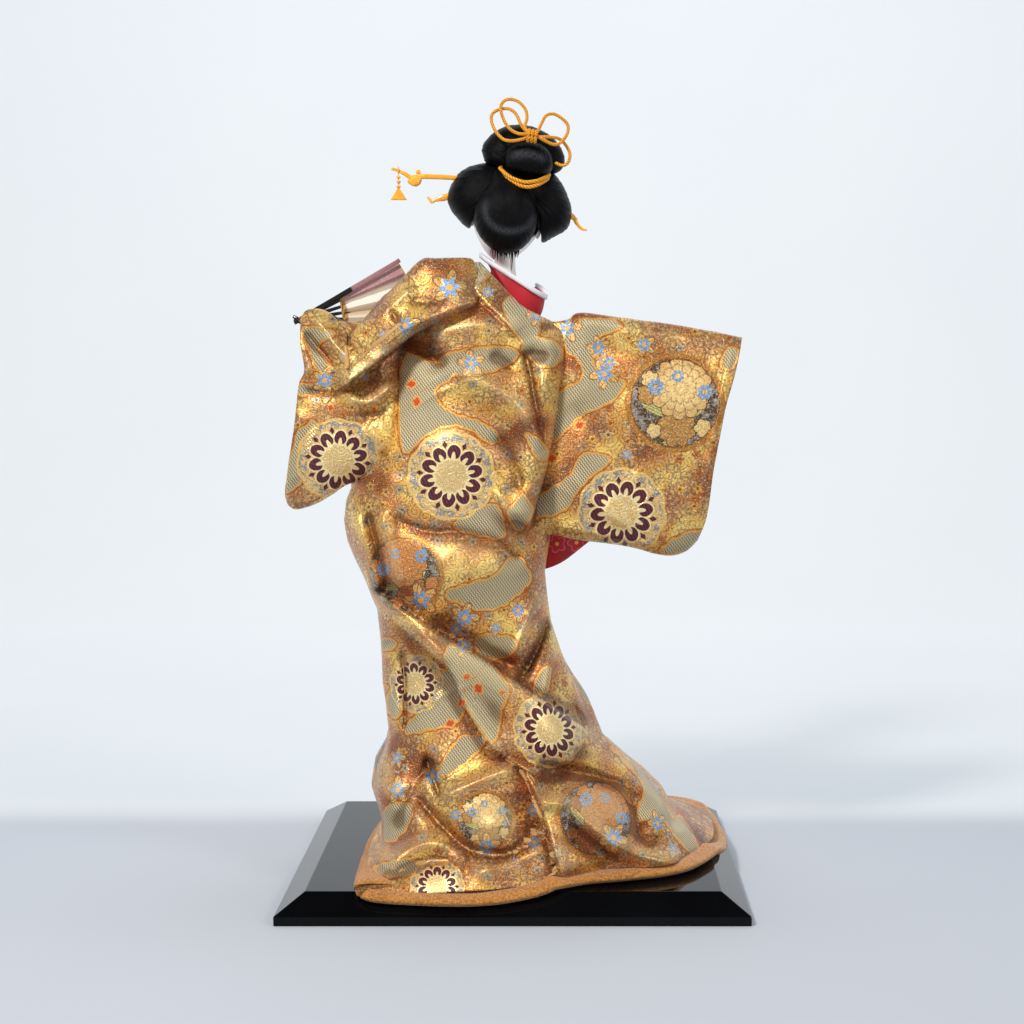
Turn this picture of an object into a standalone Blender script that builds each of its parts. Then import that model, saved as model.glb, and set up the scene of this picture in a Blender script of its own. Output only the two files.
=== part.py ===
# Costume doll in a brocade over-robe, standing on a chamfered lacquer board.
# Metres, +Z up. Origin: centre of the board's underside.
# +X is the doll's left-to-right as seen from behind, +Y is the way the doll faces.

import math

import bmesh
import bpy
import numpy as np
from mathutils import Matrix, Vector

for old in list(bpy.data.objects):
    bpy.data.objects.remove(old, do_unlink=True)

# ---------------------------------------------------------------- dimensions
GAP = 0.0004                 # clearance between touching pieces
BOARD_X = 0.3300             # board, outer
BOARD_Y = 0.3145
BOARD_H = 0.0193
BOARD_LIP = 0.0066           # vertical edge below the chamfer
BOARD_CHAMFER = 0.0196       # chamfer, measured inwards

ROD_R = 0.0025               # two rods carry the figure
ROD_X = (-0.036, -0.004)
ROD_Y = 0.004
ROD_TOP = 0.190
ROD_SOCKET = 0.0075          # height of the socket's floor in the board

CLOTH = 0.0015               # thickness of each robe
ROLL_W = 0.0150              # padded hem roll, width and height
ROLL_H = 0.0085

HEAD = Vector((-0.0073, 0.0150, 0.4935))
HEAD_TILT = math.radians(11.0)   # the head leans towards +X
HEAD_W = 0.0258              # half width of the head
HEAD_D = 0.0290              # half depth
HEAD_H = 0.0325              # half height

# Robe stations from hem to collar. Each is a slanted ring:
# left x, left z, right x, right z, y of the sides, y of the back, y of the front,
# skew of the back, squareness, half opening at the front in degrees
ROBE = [
    (-0.1040, 0.0290, 0.1480, 0.0290, -0.010, -0.1430, 0.1220, 0.12, 2.8, 30),
    (-0.1060, 0.0450, 0.1200, 0.0450, -0.010, -0.1280, 0.1050, 0.10, 2.6, 29),
    (-0.1080, 0.0680, 0.1010, 0.0680, -0.005, -0.1120, 0.0880, 0.08, 2.5, 28),
    (-0.1030, 0.0950, 0.0740, 0.0950, 0.000, -0.0980, 0.0760, 0.05, 2.4, 27),
    (-0.1030, 0.1300, 0.0520, 0.1300, 0.000, -0.0860, 0.0660, 0.03, 2.3, 26),
    (-0.1060, 0.1680, 0.0350, 0.1680, 0.000, -0.0760, 0.0600, 0.00, 2.2, 25),
    (-0.1110, 0.2060, 0.0265, 0.2060, 0.000, -0.0700, 0.0570, 0.00, 2.2, 25),
    (-0.1210, 0.2370, 0.0245, 0.2370, 0.000, -0.0680, 0.0560, 0.00, 2.2, 25),
    (-0.1290, 0.2670, 0.0265, 0.2670, 0.000, -0.0660, 0.0550, 0.00, 2.2, 26),
    (-0.1240, 0.2950, 0.0300, 0.2950, 0.000, -0.0640, 0.0530, 0.00, 2.2, 27),
    (-0.1120, 0.3300, 0.0340, 0.3270, 0.000, -0.0610, 0.0490, 0.00, 2.2, 28),
    (-0.0990, 0.3700, 0.0380, 0.3620, 0.000, -0.0580, 0.0440, 0.00, 2.2, 29),
    (-0.0900, 0.4050, 0.0410, 0.3900, 0.000, -0.0540, 0.0400, 0.00, 2.2, 31),
    (-0.0800, 0.4340, 0.0405, 0.4060, 0.000, -0.0470, 0.0360, 0.00, 2.1, 33),
    (-0.0620, 0.4530, 0.0350, 0.4125, 0.000, -0.0380, 0.0310, 0.00, 2.0, 36),
    (-0.0420, 0.4600, 0.0260, 0.4135, 0.000, -0.0300, 0.0270, 0.00, 2.0, 40),
    (-0.0270, 0.4610, 0.0190, 0.4125, 0.000, -0.0250, 0.0240, 0.00, 2.0, 44),
]

# Sleeves, from the armhole to the cuff: top x, top z, bottom x, bottom z, back y, front y
SLEEVE_RIGHT = [
    (0.0200, 0.4080, -0.0060, 0.2640, -0.0520, -0.0100),
    (0.0620, 0.4200, 0.0330, 0.2570, -0.0500, -0.0080),
    (0.0900, 0.4165, 0.0620, 0.2530, -0.0460, -0.0060),
    (0.1180, 0.4125, 0.0900, 0.2480, -0.0410, -0.0050),
    (0.1420, 0.4090, 0.1150, 0.2455, -0.0380, -0.0040),
    (0.1570, 0.4060, 0.1310, 0.2530, -0.0360, -0.0040),
    (0.1660, 0.4040, 0.1410, 0.2700, -0.0350, -0.0040),
]
SLEEVE_LEFT = [
    (-0.0700, 0.4500, -0.0800, 0.3015, -0.0560, -0.0080),
    (-0.0880, 0.4400, -0.0960, 0.2990, -0.0580, -0.0060),
    (-0.1060, 0.4240, -0.1130, 0.2960, -0.0560, -0.0040),
    (-0.1210, 0.4080, -0.1280, 0.2910, -0.0500, -0.0030),
    (-0.1330, 0.4130, -0.1420, 0.2850, -0.0440, -0.0030),
    (-0.1460, 0.4220, -0.1560, 0.2800, -0.0380, -0.0030),
    (-0.1560, 0.4180, -0.1665, 0.2850, -0.0340, -0.0030),
]

FAN_PIVOT = Vector((-0.1640, 0.0090, 0.4180))
FAN_TURN = math.radians(22) # the open side leans away from the chest
FAN_R0 = 0.036               # start of the leaf
FAN_R1 = 0.0905               # outer edge
FAN_FROM = math.radians(-34)
FAN_TO = math.radians(29)
FAN_PLEATS = 12

PIN_A = Vector((-0.0300, 0.0100, 0.5232))   # long hairpin, in the hair
PIN_B = Vector((-0.0946, 0.0100, 0.5305))   # and its tip
HANG_X = -0.0885             # where the pendant hangs


# ---------------------------------------------------------------- helpers
parts = bpy.data.collections.new("costume_doll")
guides = bpy.data.collections.new("cutters")
bpy.context.scene.collection.children.link(parts)
bpy.context.scene.collection.children.link(guides)


def material(name, rgb, rough=0.5, metal=0.0):
    m = bpy.data.materials.new(name)
    m.use_nodes = True
    b = m.node_tree.nodes["Principled BSDF"]
    b.inputs["Base Color"].default_value = (rgb[0], rgb[1], rgb[2], 1.0)
    b.inputs["Roughness"].default_value = rough
    b.inputs["Metallic"].default_value = metal
    m.diffuse_color = (rgb[0], rgb[1], rgb[2], 1.0)
    return m


LACQUER = material("black_lacquer", (0.012, 0.013, 0.016), 0.08)
BROCADE = material("gold_brocade", (0.52, 0.36, 0.16), 0.38, 0.45)
CREPE = material("tan_crepe", (0.50, 0.25, 0.06), 0.8)
RED = material("red_silk", (0.58, 0.008, 0.02), 0.6)
WHITE = material("white_silk", (0.86, 0.85, 0.88), 0.6)
SKIN = material("shell_white_skin", (0.88, 0.84, 0.80), 0.45)
HAIR = material("black_hair", (0.008, 0.008, 0.010), 0.4)
CORD = material("gold_cord", (0.75, 0.30, 0.02), 0.5)
PIN = material("amber_pin", (0.90, 0.48, 0.05), 0.3, 0.2)
FAN_PAPER = material("fan_leaf", (0.70, 0.55, 0.52), 0.6)
FAN_STICK = material("fan_sticks", (0.03, 0.02, 0.02), 0.25)
STEEL = material("steel_wire", (0.6, 0.6, 0.62), 0.3, 1.0)
STUFF = material("cotton_stuffing", (0.75, 0.70, 0.60), 0.9)
SASH = material("sash", (0.06, 0.16, 0.15), 0.5)


def put(obj, mat, collection=parts):
    for c in list(obj.users_collection):
        c.objects.unlink(obj)
    collection.objects.link(obj)
    obj.data.materials.clear()
    obj.data.materials.append(mat)
    return obj


def from_bmesh(name, bm, mat, smooth=True, collection=parts):
    mesh = bpy.data.meshes.new(name)
    bmesh.ops.recalc_face_normals(bm, faces=bm.faces)
    bm.to_mesh(mesh)
    bm.free()
    obj = bpy.data.objects.new(name, mesh)
    collection.objects.link(obj)
    mesh.materials.append(mat)
    if smooth:
        mesh.shade_smooth()
        mesh.set_sharp_from_angle(angle=math.radians(40))
    return obj


def baked(obj, keep_largest=False):
    """Turn an object with modifiers, or a curve, into a plain closed mesh."""
    bpy.context.view_layer.update()
    name = obj.name
    mat = obj.data.materials[0]
    home = obj.users_collection[0]
    graph = bpy.context.evaluated_depsgraph_get()
    mesh = bpy.data.meshes.new_from_object(obj.evaluated_get(graph))
    matrix = obj.matrix_world.copy()
    bpy.data.objects.remove(obj, do_unlink=True)
    bm = bmesh.new()
    bm.from_mesh(mesh)
    bpy.data.meshes.remove(mesh)
    bmesh.ops.transform(bm, matrix=matrix, verts=bm.verts)
    bmesh.ops.remove_doubles(bm, verts=bm.verts, dist=0.00002)
    bmesh.ops.dissolve_degenerate(bm, dist=0.00001, edges=bm.edges)
    if keep_largest:
        groups = []
        seen = set()
        for v in bm.verts:
            if v in seen:
                continue
            stack, group = [v], []
            seen.add(v)
            while stack:
                q = stack.pop()
                group.append(q)
                for e in q.link_edges:
                    w = e.other_vert(q)
                    if w not in seen:
                        seen.add(w)
                        stack.append(w)
            groups.append(group)
        groups.sort(key=len, reverse=True)
        for group in groups[1:]:
            bmesh.ops.delete(bm, geom=group, context="VERTS")
    new = from_bmesh(name, bm, mat, collection=home)
    new.name = name
    return new


def modifier(obj, kind, **values):
    m = obj.modifiers.new(kind.lower(), kind)
    for key, value in values.items():
        setattr(m, key, value)
    return m


def swollen(obj, gap=GAP):
    """A cutter: the object's shape, grown by the gap."""
    graph = bpy.context.evaluated_depsgraph_get()
    bpy.context.view_layer.update()
    mesh = bpy.data.meshes.new_from_object(obj.evaluated_get(graph))
    bm = bmesh.new()
    bm.from_mesh(mesh)
    bmesh.ops.transform(bm, matrix=obj.matrix_world, verts=bm.verts)
    bm.normal_update()
    moves = [(v, v.normal.copy() * gap * min(2.0, v.calc_shell_factor())) for v in bm.verts]
    for v, d in moves:
        v.co += d
    bm.to_mesh(mesh)
    bm.free()
    cutter = bpy.data.objects.new("cut_" + obj.name, mesh)
    guides.objects.link(cutter)
    cutter.hide_render = True
    cutter.display_type = "WIRE"
    return cutter


def cut(obj, *others, gap=GAP, keep_largest=True, op="DIFFERENCE"):
    cutters = []
    for other in others:
        c = swollen(other, gap) if gap else other
        cutters.append(c)
        modifier(obj, "BOOLEAN", operation=op, object=c, solver="EXACT")
    new = baked(obj, keep_largest)
    if gap:
        for c in cutters:
            bpy.data.objects.remove(c, do_unlink=True)
    return new


def join(name, mat, shapes, crossing=False):
    """Boolean union of a list of plain shapes."""
    first = shapes[0]
    for other in shapes[1:]:
        modifier(first, "BOOLEAN", operation="UNION", object=other, solver="EXACT", use_self=crossing)
    new = baked(first)
    for other in shapes[1:]:
        bpy.data.objects.remove(other, do_unlink=True)
    new.name = name
    new.data.name = name
    new.data.materials.clear()
    new.data.materials.append(mat)
    return new


def ball(name, mat, centre, radii, rot=None, seg=20, rings=12, collection=parts):
    bm = bmesh.new()
    bmesh.ops.create_uvsphere(bm, u_segments=seg, v_segments=rings, radius=1.0)
    m = Matrix.Translation(centre) @ (rot or Matrix.Identity(4)) @ Matrix.Diagonal((*radii, 1.0))
    bmesh.ops.transform(bm, matrix=m, verts=bm.verts)
    return from_bmesh(name, bm, mat, collection=collection)


def rod(name, mat, a, b, r0, r1=None, seg=14, collection=parts):
    a, b = Vector(a), Vector(b)
    bm = bmesh.new()
    bmesh.ops.create_cone(bm, cap_ends=True, segments=seg, radius1=r0,
                          radius2=r0 if r1 is None else r1, depth=(b - a).length)
    turn = (b - a).to_track_quat("Z", "Y").to_matrix().to_4x4()
    bmesh.ops.transform(bm, matrix=Matrix.Translation((a + b) / 2) @ turn, verts=bm.verts)
    return from_bmesh(name, bm, mat, collection=collection)


def wire(name, mat, points, radius, closed=False, res=2, smooth=True, radii=None):
    curve = bpy.data.curves.new(name, "CURVE")
    curve.dimensions = "3D"
    curve.bevel_depth = radius
    curve.bevel_resolution = res
    curve.use_fill_caps = True
    spline = curve.splines.new("POLY")
    spline.points.add(len(points) - 1)
    for i, p in enumerate(points):
        spline.points[i].co = (*p, 1.0)
        if radii:
            spline.points[i].radius = radii[i]
    spline.use_cyclic_u = closed
    obj = bpy.data.objects.new(name, curve)
    parts.objects.link(obj)
    curve.materials.append(mat)
    return baked(obj)


def smooth_path(points, n, closed=False):
    """n points on a Catmull-Rom curve through the given points."""
    pts = [Vector(p) for p in points]
    m = len(pts)
    out = []
    spans = m if closed else m - 1
    total = n if closed else n - 1
    for i in range(n):
        t = i * spans / total
        k = min(int(t), spans - 1)
        f = t - k
        if closed:
            p0, p1, p2, p3 = pts[(k - 1) % m], pts[k % m], pts[(k + 1) % m], pts[(k + 2) % m]
        else:
            p0, p1 = pts[max(k - 1, 0)], pts[k]
            p2, p3 = pts[k + 1], pts[min(k + 2, m - 1)]
        out.append(0.5 * ((2 * p1) + (p2 - p0) * f + (2 * p0 - 5 * p1 + 4 * p2 - p3) * f * f
                          + (3 * p1 - p0 - 3 * p2 + p3) * f ** 3))
    return out


def grid(name, mat, rows, wrap=False, caps=False):
    """Loft: rows of points, joined row to row."""
    bm = bmesh.new()
    net = [[bm.verts.new(p) for p in row] for row in rows]
    for a, b in zip(net, net[1:]):
        n = len(a)
        for i in range(n if wrap else n - 1):
            j = (i + 1) % n
            bm.faces.new((a[i], a[j], b[j], b[i]))
    if caps:
        bm.faces.new(net[0])
        bm.faces.new(net[-1])
    return from_bmesh(name, bm, mat)


def sheet(name, mat, rows, thick, wrap=False, inward=True):
    obj = grid(name, mat, rows, wrap=wrap)
    modifier(obj, "SOLIDIFY", thickness=thick, offset=-1.0 if inward else 1.0,
             use_even_offset=True, use_quality_normals=True)
    return baked(obj)


# ---------------------------------------------------------------- robe rings
def station(k):
    """Robe station at a fractional index."""
    k = max(0.0, min(len(ROBE) - 1.0, k))
    i = min(int(k), len(ROBE) - 2)
    f = k - i
    return [a + (b - a) * f for a, b in zip(ROBE[i], ROBE[i + 1])]


def ring_point(s, deg, inset):
    xl, zl, xr, zr, yc, yn, yf, skew, power = s[:9]
    a = (xr - xl) / 2 - inset
    c, d = math.cos(math.radians(deg)), math.sin(math.radians(deg))
    e = 2.0 / power
    u = math.copysign(abs(c) ** e, c)
    v = math.copysign(abs(d) ** e, d)
    b = (yc - yn - inset) if v < 0 else (yf - yc - inset)
    y = yc + b * v * (1.0 - skew * c if v < 0 else 1.0)
    t = (u + 1) / 2
    return Vector(((xl + xr) / 2 + a * u, y, zl + (zr - zl) * t))


def robe_rows(stations, cols, inset, start=None, end=None, turn=0.0, lift=0.0):
    """Rows of points from the left front edge, round the back, to the right front edge."""
    rows = []
    for k in stations:
        s = station(k)
        half = s[9]
        a0 = (90 + half) if start is None else start(k)
        a1 = (450 - half) if end is None else end(k)
        row = []
        for j in range(cols):
            f = j / (cols - 1)
            p = ring_point(s, a0 + (a1 - a0) * f, inset(k) if callable(inset) else inset)
            if turn:
                q = ring_point(s, a0 + (a1 - a0) * f, (inset(k) if callable(inset) else inset) + turn)
                p = p.lerp(q, f)
            p.z += lift
            row.append(p)
        rows.append(row)
    return rows


def spread(a, b, n):
    return [a + (b - a) * i / (n - 1) for i in range(n)]


# ---------------------------------------------------------------- board
bpy.ops.mesh.primitive_cube_add(size=1.0, location=(0, 0, BOARD_LIP / 2))
board = bpy.context.object
board.name = "base_board"
for v in board.data.vertices:
    v.co.x *= BOARD_X
    v.co.y *= BOARD_Y
    v.co.z *= BOARD_LIP
put(board, LACQUER)
bm = bmesh.new()
bm.from_mesh(board.data)
top = [f for f in bm.faces if f.normal.z > 0.5]
res = bmesh.ops.extrude_face_region(bm, geom=top)
raised = [g for g in res["geom"] if isinstance(g, bmesh.types.BMVert)]
bmesh.ops.delete(bm, geom=top, context="FACES_ONLY")
for v in raised:
    v.co.z += BOARD_H - BOARD_LIP
    v.co.x -= math.copysign(BOARD_CHAMFER, v.co.x)
    v.co.y -= math.copysign(BOARD_CHAMFER, v.co.y)
bm.to_mesh(board.data)
bm.free()
modifier(board, "BEVEL", width=0.0006, segments=2, limit_method="ANGLE", angle_limit=math.radians(25))
board = baked(board)

rods = []
for side, x in zip(("left", "right"), ROD_X):
    r = rod("leg_rod_" + side, STEEL, (x, ROD_Y, ROD_SOCKET + GAP), (x, ROD_Y, ROD_TOP), ROD_R, seg=16)
    rods.append(r)
board = cut(board, *rods)

# ---------------------------------------------------------------- feet in split-toe socks
feet = []
for side, x in zip(("left", "right"), ROD_X):
    sign = -1 if side == "left" else 1
    rows = []
    for y, w, h, dx in ((-0.0140, 0.0045, 0.010, 0), (-0.0120, 0.0075, 0.0200, 0), (-0.0060, 0.0088, 0.0240, 0),
                        (0.0040, 0.0085, 0.0235, 0), (0.0140, 0.0090, 0.0170, 0.0006),
                        (0.0240, 0.0105, 0.0125, 0.0012), (0.0320, 0.0100, 0.0095, 0.0014),
                        (0.0380, 0.0070, 0.0070, 0.0010)):
        row = []
        for i in range(14):
            a = 2 * math.pi * i / 14
            row.append((x + sign * dx + w * math.cos(a), y,
                        BOARD_H + GAP + h / 2 * (1 + max(-0.92, math.sin(a)))))
        rows.append(row)
    f = grid("foot_" + side, WHITE, rows, wrap=True, caps=True)
    slot = rod("toe", WHITE, (x - sign * 0.0022, 0.027, BOARD_H - 0.002), (x - sign * 0.0022, 0.040, BOARD_H + 0.016),
               0.0006, 0.0006, seg=8, collection=guides)
    f = cut(f, slot, gap=0)
    bpy.data.objects.remove(slot, do_unlink=True)
    f = cut(f, rods[0] if side == "left" else rods[1])
    f = cut(f, board)
    feet.append(f)

# ---------------------------------------------------------------- stuffed body
def core(name, k0, k1, n, inset, mat=STUFF, cols=18, sink=0.0):
    rows = []
    for k in spread(k0, k1, n):
        s = station(k)
        row = []
        for j in range(cols):
            p = ring_point(s, 360 * j / cols, inset(k))
            p.z -= sink * max(0.0, min(1.0, (k - 11.0) / 2.0))
            row.append(p)
        rows.append(row)
    return grid(name, mat, rows, wrap=True, caps=True)


lower = core("lower_body", 1.2, 8.0, 8, lambda k: 0.0185 + max(0.0, 4 - k) * 0.0105)
trunk = core("torso_core", 8.05, 13.5, 7, lambda k: 0.0205 + max(0.0, k - 12.5) * 0.0012, sink=0.0185)
lower = cut(lower, *rods)

# ---------------------------------------------------------------- head and neck
def head_rot():
    return Matrix.Rotation(HEAD_TILT, 4, "Y")


def in_head(u, v, w):
    """Point in the leaning head's frame: u to +X, v to the face, w to the crown."""
    return HEAD + head_rot().to_3x3() @ Vector((u, v, w))


bm = bmesh.new()
bmesh.ops.create_uvsphere(bm, u_segments=20, v_segments=14, radius=1.0)
for v in bm.verts:
    x, y, z = v.co
    low = max(0.0, -z)
    front = max(0.0, y)
    w = HEAD_W * (1.0 - 0.26 * low ** 1.6)
    d = HEAD_D * (1.0 - 0.20 * low * (1.0 - front))
    nose = 0.0040 * math.exp(-((x / 0.11) ** 2)) * math.exp(-(((z + 0.28) / 0.17) ** 2)) * (1.0 if y > 0 else 0.0)
    chin = 0.0022 * math.exp(-((x / 0.30) ** 2)) * math.exp(-(((z + 0.86) / 0.16) ** 2)) * (1.0 if y > 0 else 0.0)
    v.co = Vector((x * w, y * d + nose + chin, z * HEAD_H))
bmesh.ops.transform(bm, matrix=Matrix.Translation(HEAD) @ head_rot(), verts=bm.verts)
skull = from_bmesh("head", bm, SKIN)
NECK_TOP = in_head(0.0, -0.006, -0.012)
NECK_LOW = Vector((-0.0062, 0.0005, 0.4040))
neck_rows = []
for f, r in ((0.0, 0.0078), (0.25, 0.0078), (0.42, 0.0080), (0.56, 0.0090), (0.70, 0.0105), (0.86, 0.0110), (1.0, 0.0090)):
    c = NECK_TOP.lerp(NECK_LOW, f)
    neck_rows.append([(c.x + r * math.cos(2 * math.pi * i / 16), c.y + r * math.sin(2 * math.pi * i / 16), c.z)
                      for i in range(16)])
neck = grid("neck", SKIN, neck_rows, wrap=True, caps=True)
head = join("head", SKIN, [skull, neck])
trunk = cut(trunk, head)

# ---------------------------------------------------------------- hair
R = head_rot()
HAIR_FORMS = {            # centre in the head's frame, radii
    "hair_bun_rear": ((0.0000, -0.0350, 0.0020), (0.0243, 0.0190, 0.0285)),
    "hair_topknot_roll": ((0.0030, -0.0180, 0.0500), (0.0185, 0.0150, 0.0150)),
    "hair_topknot": ((0.0025, -0.0030, 0.0560), (0.0320, 0.0200, 0.0170)),
    "hair_wing_left": ((-0.0235, 0.0000, 0.0140), (0.0235, 0.0300, 0.0265)),
    "hair_wing_right": ((0.0245, 0.0000, 0.0120), (0.0235, 0.0300, 0.0265)),
    "hair_front": ((0.0005, 0.0190, 0.0330), (0.0270, 0.0170, 0.0140)),
    "hair_cap": ((0.0003, -0.0015, 0.0085), (0.0268, 0.0305, 0.0345)),
}


def hair_form(name, grow=0.0):
    """A lump of hair, or with grow the room that it takes from its neighbours."""
    centre, radii = HAIR_FORMS[name]
    return ball(("room_" if grow else "") + name, HAIR, in_head(*centre), [r + grow for r in radii], R, 18, 11,
                collection=guides if grow else parts)


bun, roll, knot = hair_form("hair_bun_rear"), hair_form("hair_topknot_roll"), hair_form("hair_topknot")
wing_l, wing_r = hair_form("hair_wing_left"), hair_form("hair_wing_right")
front, cap = hair_form("hair_front"), hair_form("hair_cap")
rooms = {n: hair_form(n, 0.0005) for n in ("hair_bun_rear", "hair_topknot_roll", "hair_topknot", "hair_cap", "hair_front")}
bun = cut(bun, head)

# the pins that sit in the hair
pin_dir = (PIN_B - PIN_A).normalized()
pin_shapes = [
    rod("a", PIN, PIN_A, PIN_B - pin_dir * 0.0180, 0.0017, 0.0017, 12),
    rod("b", PIN, PIN_B - pin_dir * 0.0190, PIN_B - pin_dir * 0.0110, 0.0034, 0.0040, 14),
    rod("c", PIN, PIN_B - pin_dir * 0.0120, PIN_B - pin_dir * 0.0007, 0.0011, 0.0013, 12),
    ball("d", PIN, PIN_B, (0.0016, 0.0016, 0.0022), None, 12, 8),
]
pin_long = join("hairpin_long", PIN, pin_shapes)


def side_pin(name, a, b, c):
    body = rod("s", PIN, a, b, 0.0016, 0.0016, 12)
    leaf = ball("t", PIN, c, (0.0062, 0.0016, 0.0028), Matrix.Rotation(math.radians(12 if "left" in name else 40), 4, "Y"), 14, 8)
    return join(name, PIN, [body, leaf])


cross_l = side_pin("hairpin_cross_left", in_head(-0.030, 0.0, 0.0120), (-0.0560, 0.0150, 0.5105), (-0.0590, 0.0150, 0.5075))
cross_r = side_pin("hairpin_cross_right", in_head(0.030, 0.0, 0.0080), (0.0460, 0.0150, 0.4935), (0.0495, 0.0150, 0.4885))

# twisted cord: two turns under the roll, and a bow above it
wind_pts = []
for i in range(36):
    a = 2 * math.pi * i / 36
    p = in_head(0.0030 + 0.0205 * math.cos(a), -0.0110 + 0.0210 * math.sin(a), 0.0348)
    wind_pts.append(p)
winding = wire("cord_winding", CORD, wind_pts, 0.0016, closed=True, res=1)


def bow_loop(points, n=16):
    return smooth_path(points, n)


KNOT = in_head(0.0100, -0.0350, 0.0610)
BOW = {
    "upper": [(0, 0, 0), (-0.0120, 0.004, 0.0140), (-0.0175, 0.006, 0.0260), (-0.0085, 0.006, 0.0262), (-0.001, 0.004, 0.0130), (0.0005, 0.001, 0.001)],
    "left": [(0, 0, 0), (-0.014, 0.001, 0.001), (-0.0290, 0.004, 0.0030), (-0.0310, 0.004, 0.0100), (-0.021, 0.003, 0.0130), (-0.008, 0.002, 0.0050), (0.0, 0.0008, 0.0)],
    "right": [(0, 0, 0), (0.0070, 0.003, 0.0130), (0.0160, 0.005, 0.0165), (0.0235, 0.005, 0.0090), (0.0220, 0.003, -0.0040), (0.010, 0.002, -0.002), (0.0, 0.0008, 0.0)],
    "low": [(0, 0, 0), (0.012, 0.0, 0.0), (0.0240, 0.002, -0.0060), (0.0230, 0.003, -0.0200), (0.0140, 0.0, -0.0220)],
}
bow_shapes = [ball("k", CORD, KNOT, (0.0034, 0.0030, 0.0030), None, 12, 8)]
for key, pts in BOW.items():
    path = bow_loop([KNOT + Vector(p) for p in pts])
    bow_shapes.append(wire("l" + key, CORD, path, 0.00125, res=1))
bow = join("bow_cord", CORD, bow_shapes, crossing=True)

roll = cut(roll, rooms["hair_bun_rear"], gap=0)
roll = cut(roll, winding)
roll = cut(roll, bow)
knot = cut(knot, rooms["hair_topknot_roll"], gap=0)
knot = cut(knot, winding)
knot = cut(knot, bow)
bun = cut(bun, winding)
tuft = ball("nape_tuft", HAIR, in_head(0.0005, -0.0235, -0.0235), (0.0075, 0.0030, 0.0080), R, 16, 10)
tuft = cut(tuft, rooms["hair_bun_rear"], gap=0)
tuft = cut(tuft, head)
face_clear = ball("face_window", HAIR, in_head(0.0, 0.0290, -0.0140), (0.0215, 0.0260, 0.0290), R, 22, 14, collection=guides)
chin_clear = ball("jaw_window", HAIR, in_head(0.0, 0.0060, -0.0330), (0.0300, 0.0300, 0.0230), R, 22, 14, collection=guides)
room_c, room_n = in_head(0.0030, -0.0110, 0.0348), head_rot().to_3x3() @ Vector((0, 0, 1))
cord_room = rod("room_winding", HAIR, room_c - room_n * 0.0021, room_c + room_n * 0.0022, 0.0228, 0.0228, 26,
                collection=guides)
cap = cut(cap, face_clear, gap=0)
cap = cut(cap, chin_clear, gap=0)
cap = cut(cap, cord_room, gap=0)
cap = cut(cap, head)
for key in ("hair_bun_rear", "hair_topknot_roll", "hair_topknot"):
    cap = cut(cap, rooms[key], gap=0)
cap = cut(cap, tuft)
front = cut(front, cord_room, gap=0)
front = cut(front, head)
for key in ("hair_topknot", "hair_cap"):
    front = cut(front, rooms[key], gap=0)
wings = []
for w in (wing_l, wing_r):
    w = cut(w, cord_room, gap=0)
    w = cut(w, face_clear, gap=0)
    w = cut(w, head)
    for key in ("hair_bun_rear", "hair_cap", "hair_topknot", "hair_front"):
        w = cut(w, rooms[key], gap=0)
    w = cut(w, pin_long)
    w = cut(w, cross_l if "left" in w.name else cross_r)
    wings.append(w)
wing_l, wing_r = wings
knot = cut(knot, pin_long)
for g in (face_clear, chin_clear, cord_room, *rooms.values()):
    bpy.data.objects.remove(g, do_unlink=True)

# pendant: a ring round the pin's thin end, three beads and a small plate
hang = PIN_A.lerp(PIN_B, (HANG_X - PIN_A.x) / (PIN_B.x - PIN_A.x))
ring_pts = []
for i in range(12):
    a = 2 * math.pi * i / 12
    ring_pts.append((hang.x, hang.y + 0.0024 * math.cos(a), hang.z - 0.0004 + 0.0024 * math.sin(a)))
pend = [wire("r", PIN, ring_pts, 0.0005, closed=True, res=1)]
pend.append(rod("r2", PIN, (hang.x, hang.y, hang.z - 0.0029), (hang.x, hang.y, hang.z - 0.0120), 0.0005, 0.0005, 8))
for dz in (0.0050, 0.0085, 0.0120):
    pend.append(ball("b", PIN, (hang.x, hang.y, hang.z - dz), (0.0015, 0.0015, 0.0016), None, 8, 6))
bm = bmesh.new()
bmesh.ops.create_cone(bm, cap_ends=True, segments=3, radius1=0.0062, radius2=0.0008, depth=0.0100)
bmesh.ops.transform(bm, matrix=Matrix.Translation((hang.x, hang.y, hang.z - 0.0180)) @ Matrix.Diagonal((1.05, 0.28, 1.0, 1.0))
                    @ Matrix.Rotation(math.radians(-90), 4, "Z"), verts=bm.verts)
pend.append(from_bmesh("tri", bm, PIN, smooth=False))
pendant = join("hairpin_pendant", PIN, pend)

# ---------------------------------------------------------------- robes
robe = sheet("robe_body", BROCADE, robe_rows([0, 0.8, 1.8, 3, 4.4, 5.8, 7.2, 8.4, 9.6, 10.8, 12, 13, 14, 15, 16], 27, 0.0), CLOTH)


def under_inset(k):
    return 0.0060 + 0.0050 * max(0.0, min(1.0, (12.8 - k) / 1.5)) * max(0.0, min(1.0, (k - 4.0) / 2.0)) \
        + 0.003 * max(0.0, 1.0 - k / 2.0)


def under_start(k):
    return 90 - 28 + 72 * max(0.0, min(1.0, (k - 12.0) / 4.0))


def under_end(k):
    return 450 + 28 - 72 * max(0.0, min(1.0, (k - 12.0) / 4.0))


under_k = [0, 1.2, 2.6, 4.2, 6, 7.8, 9.4, 11.2, 12.6, 13.6, 14.4, 16.0]
under_rows = robe_rows(under_k, 27, under_inset, under_start, under_end, turn=0.0028)
for p in under_rows[0]:
    p.z = max(BOARD_H + 0.0010, p.z - 0.0070)
for k, row in zip(under_k, under_rows):
    for p in row:
        p.z -= 0.0055 * max(0.0, min(1.0, (k - 11.5) / 2.0))
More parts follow.
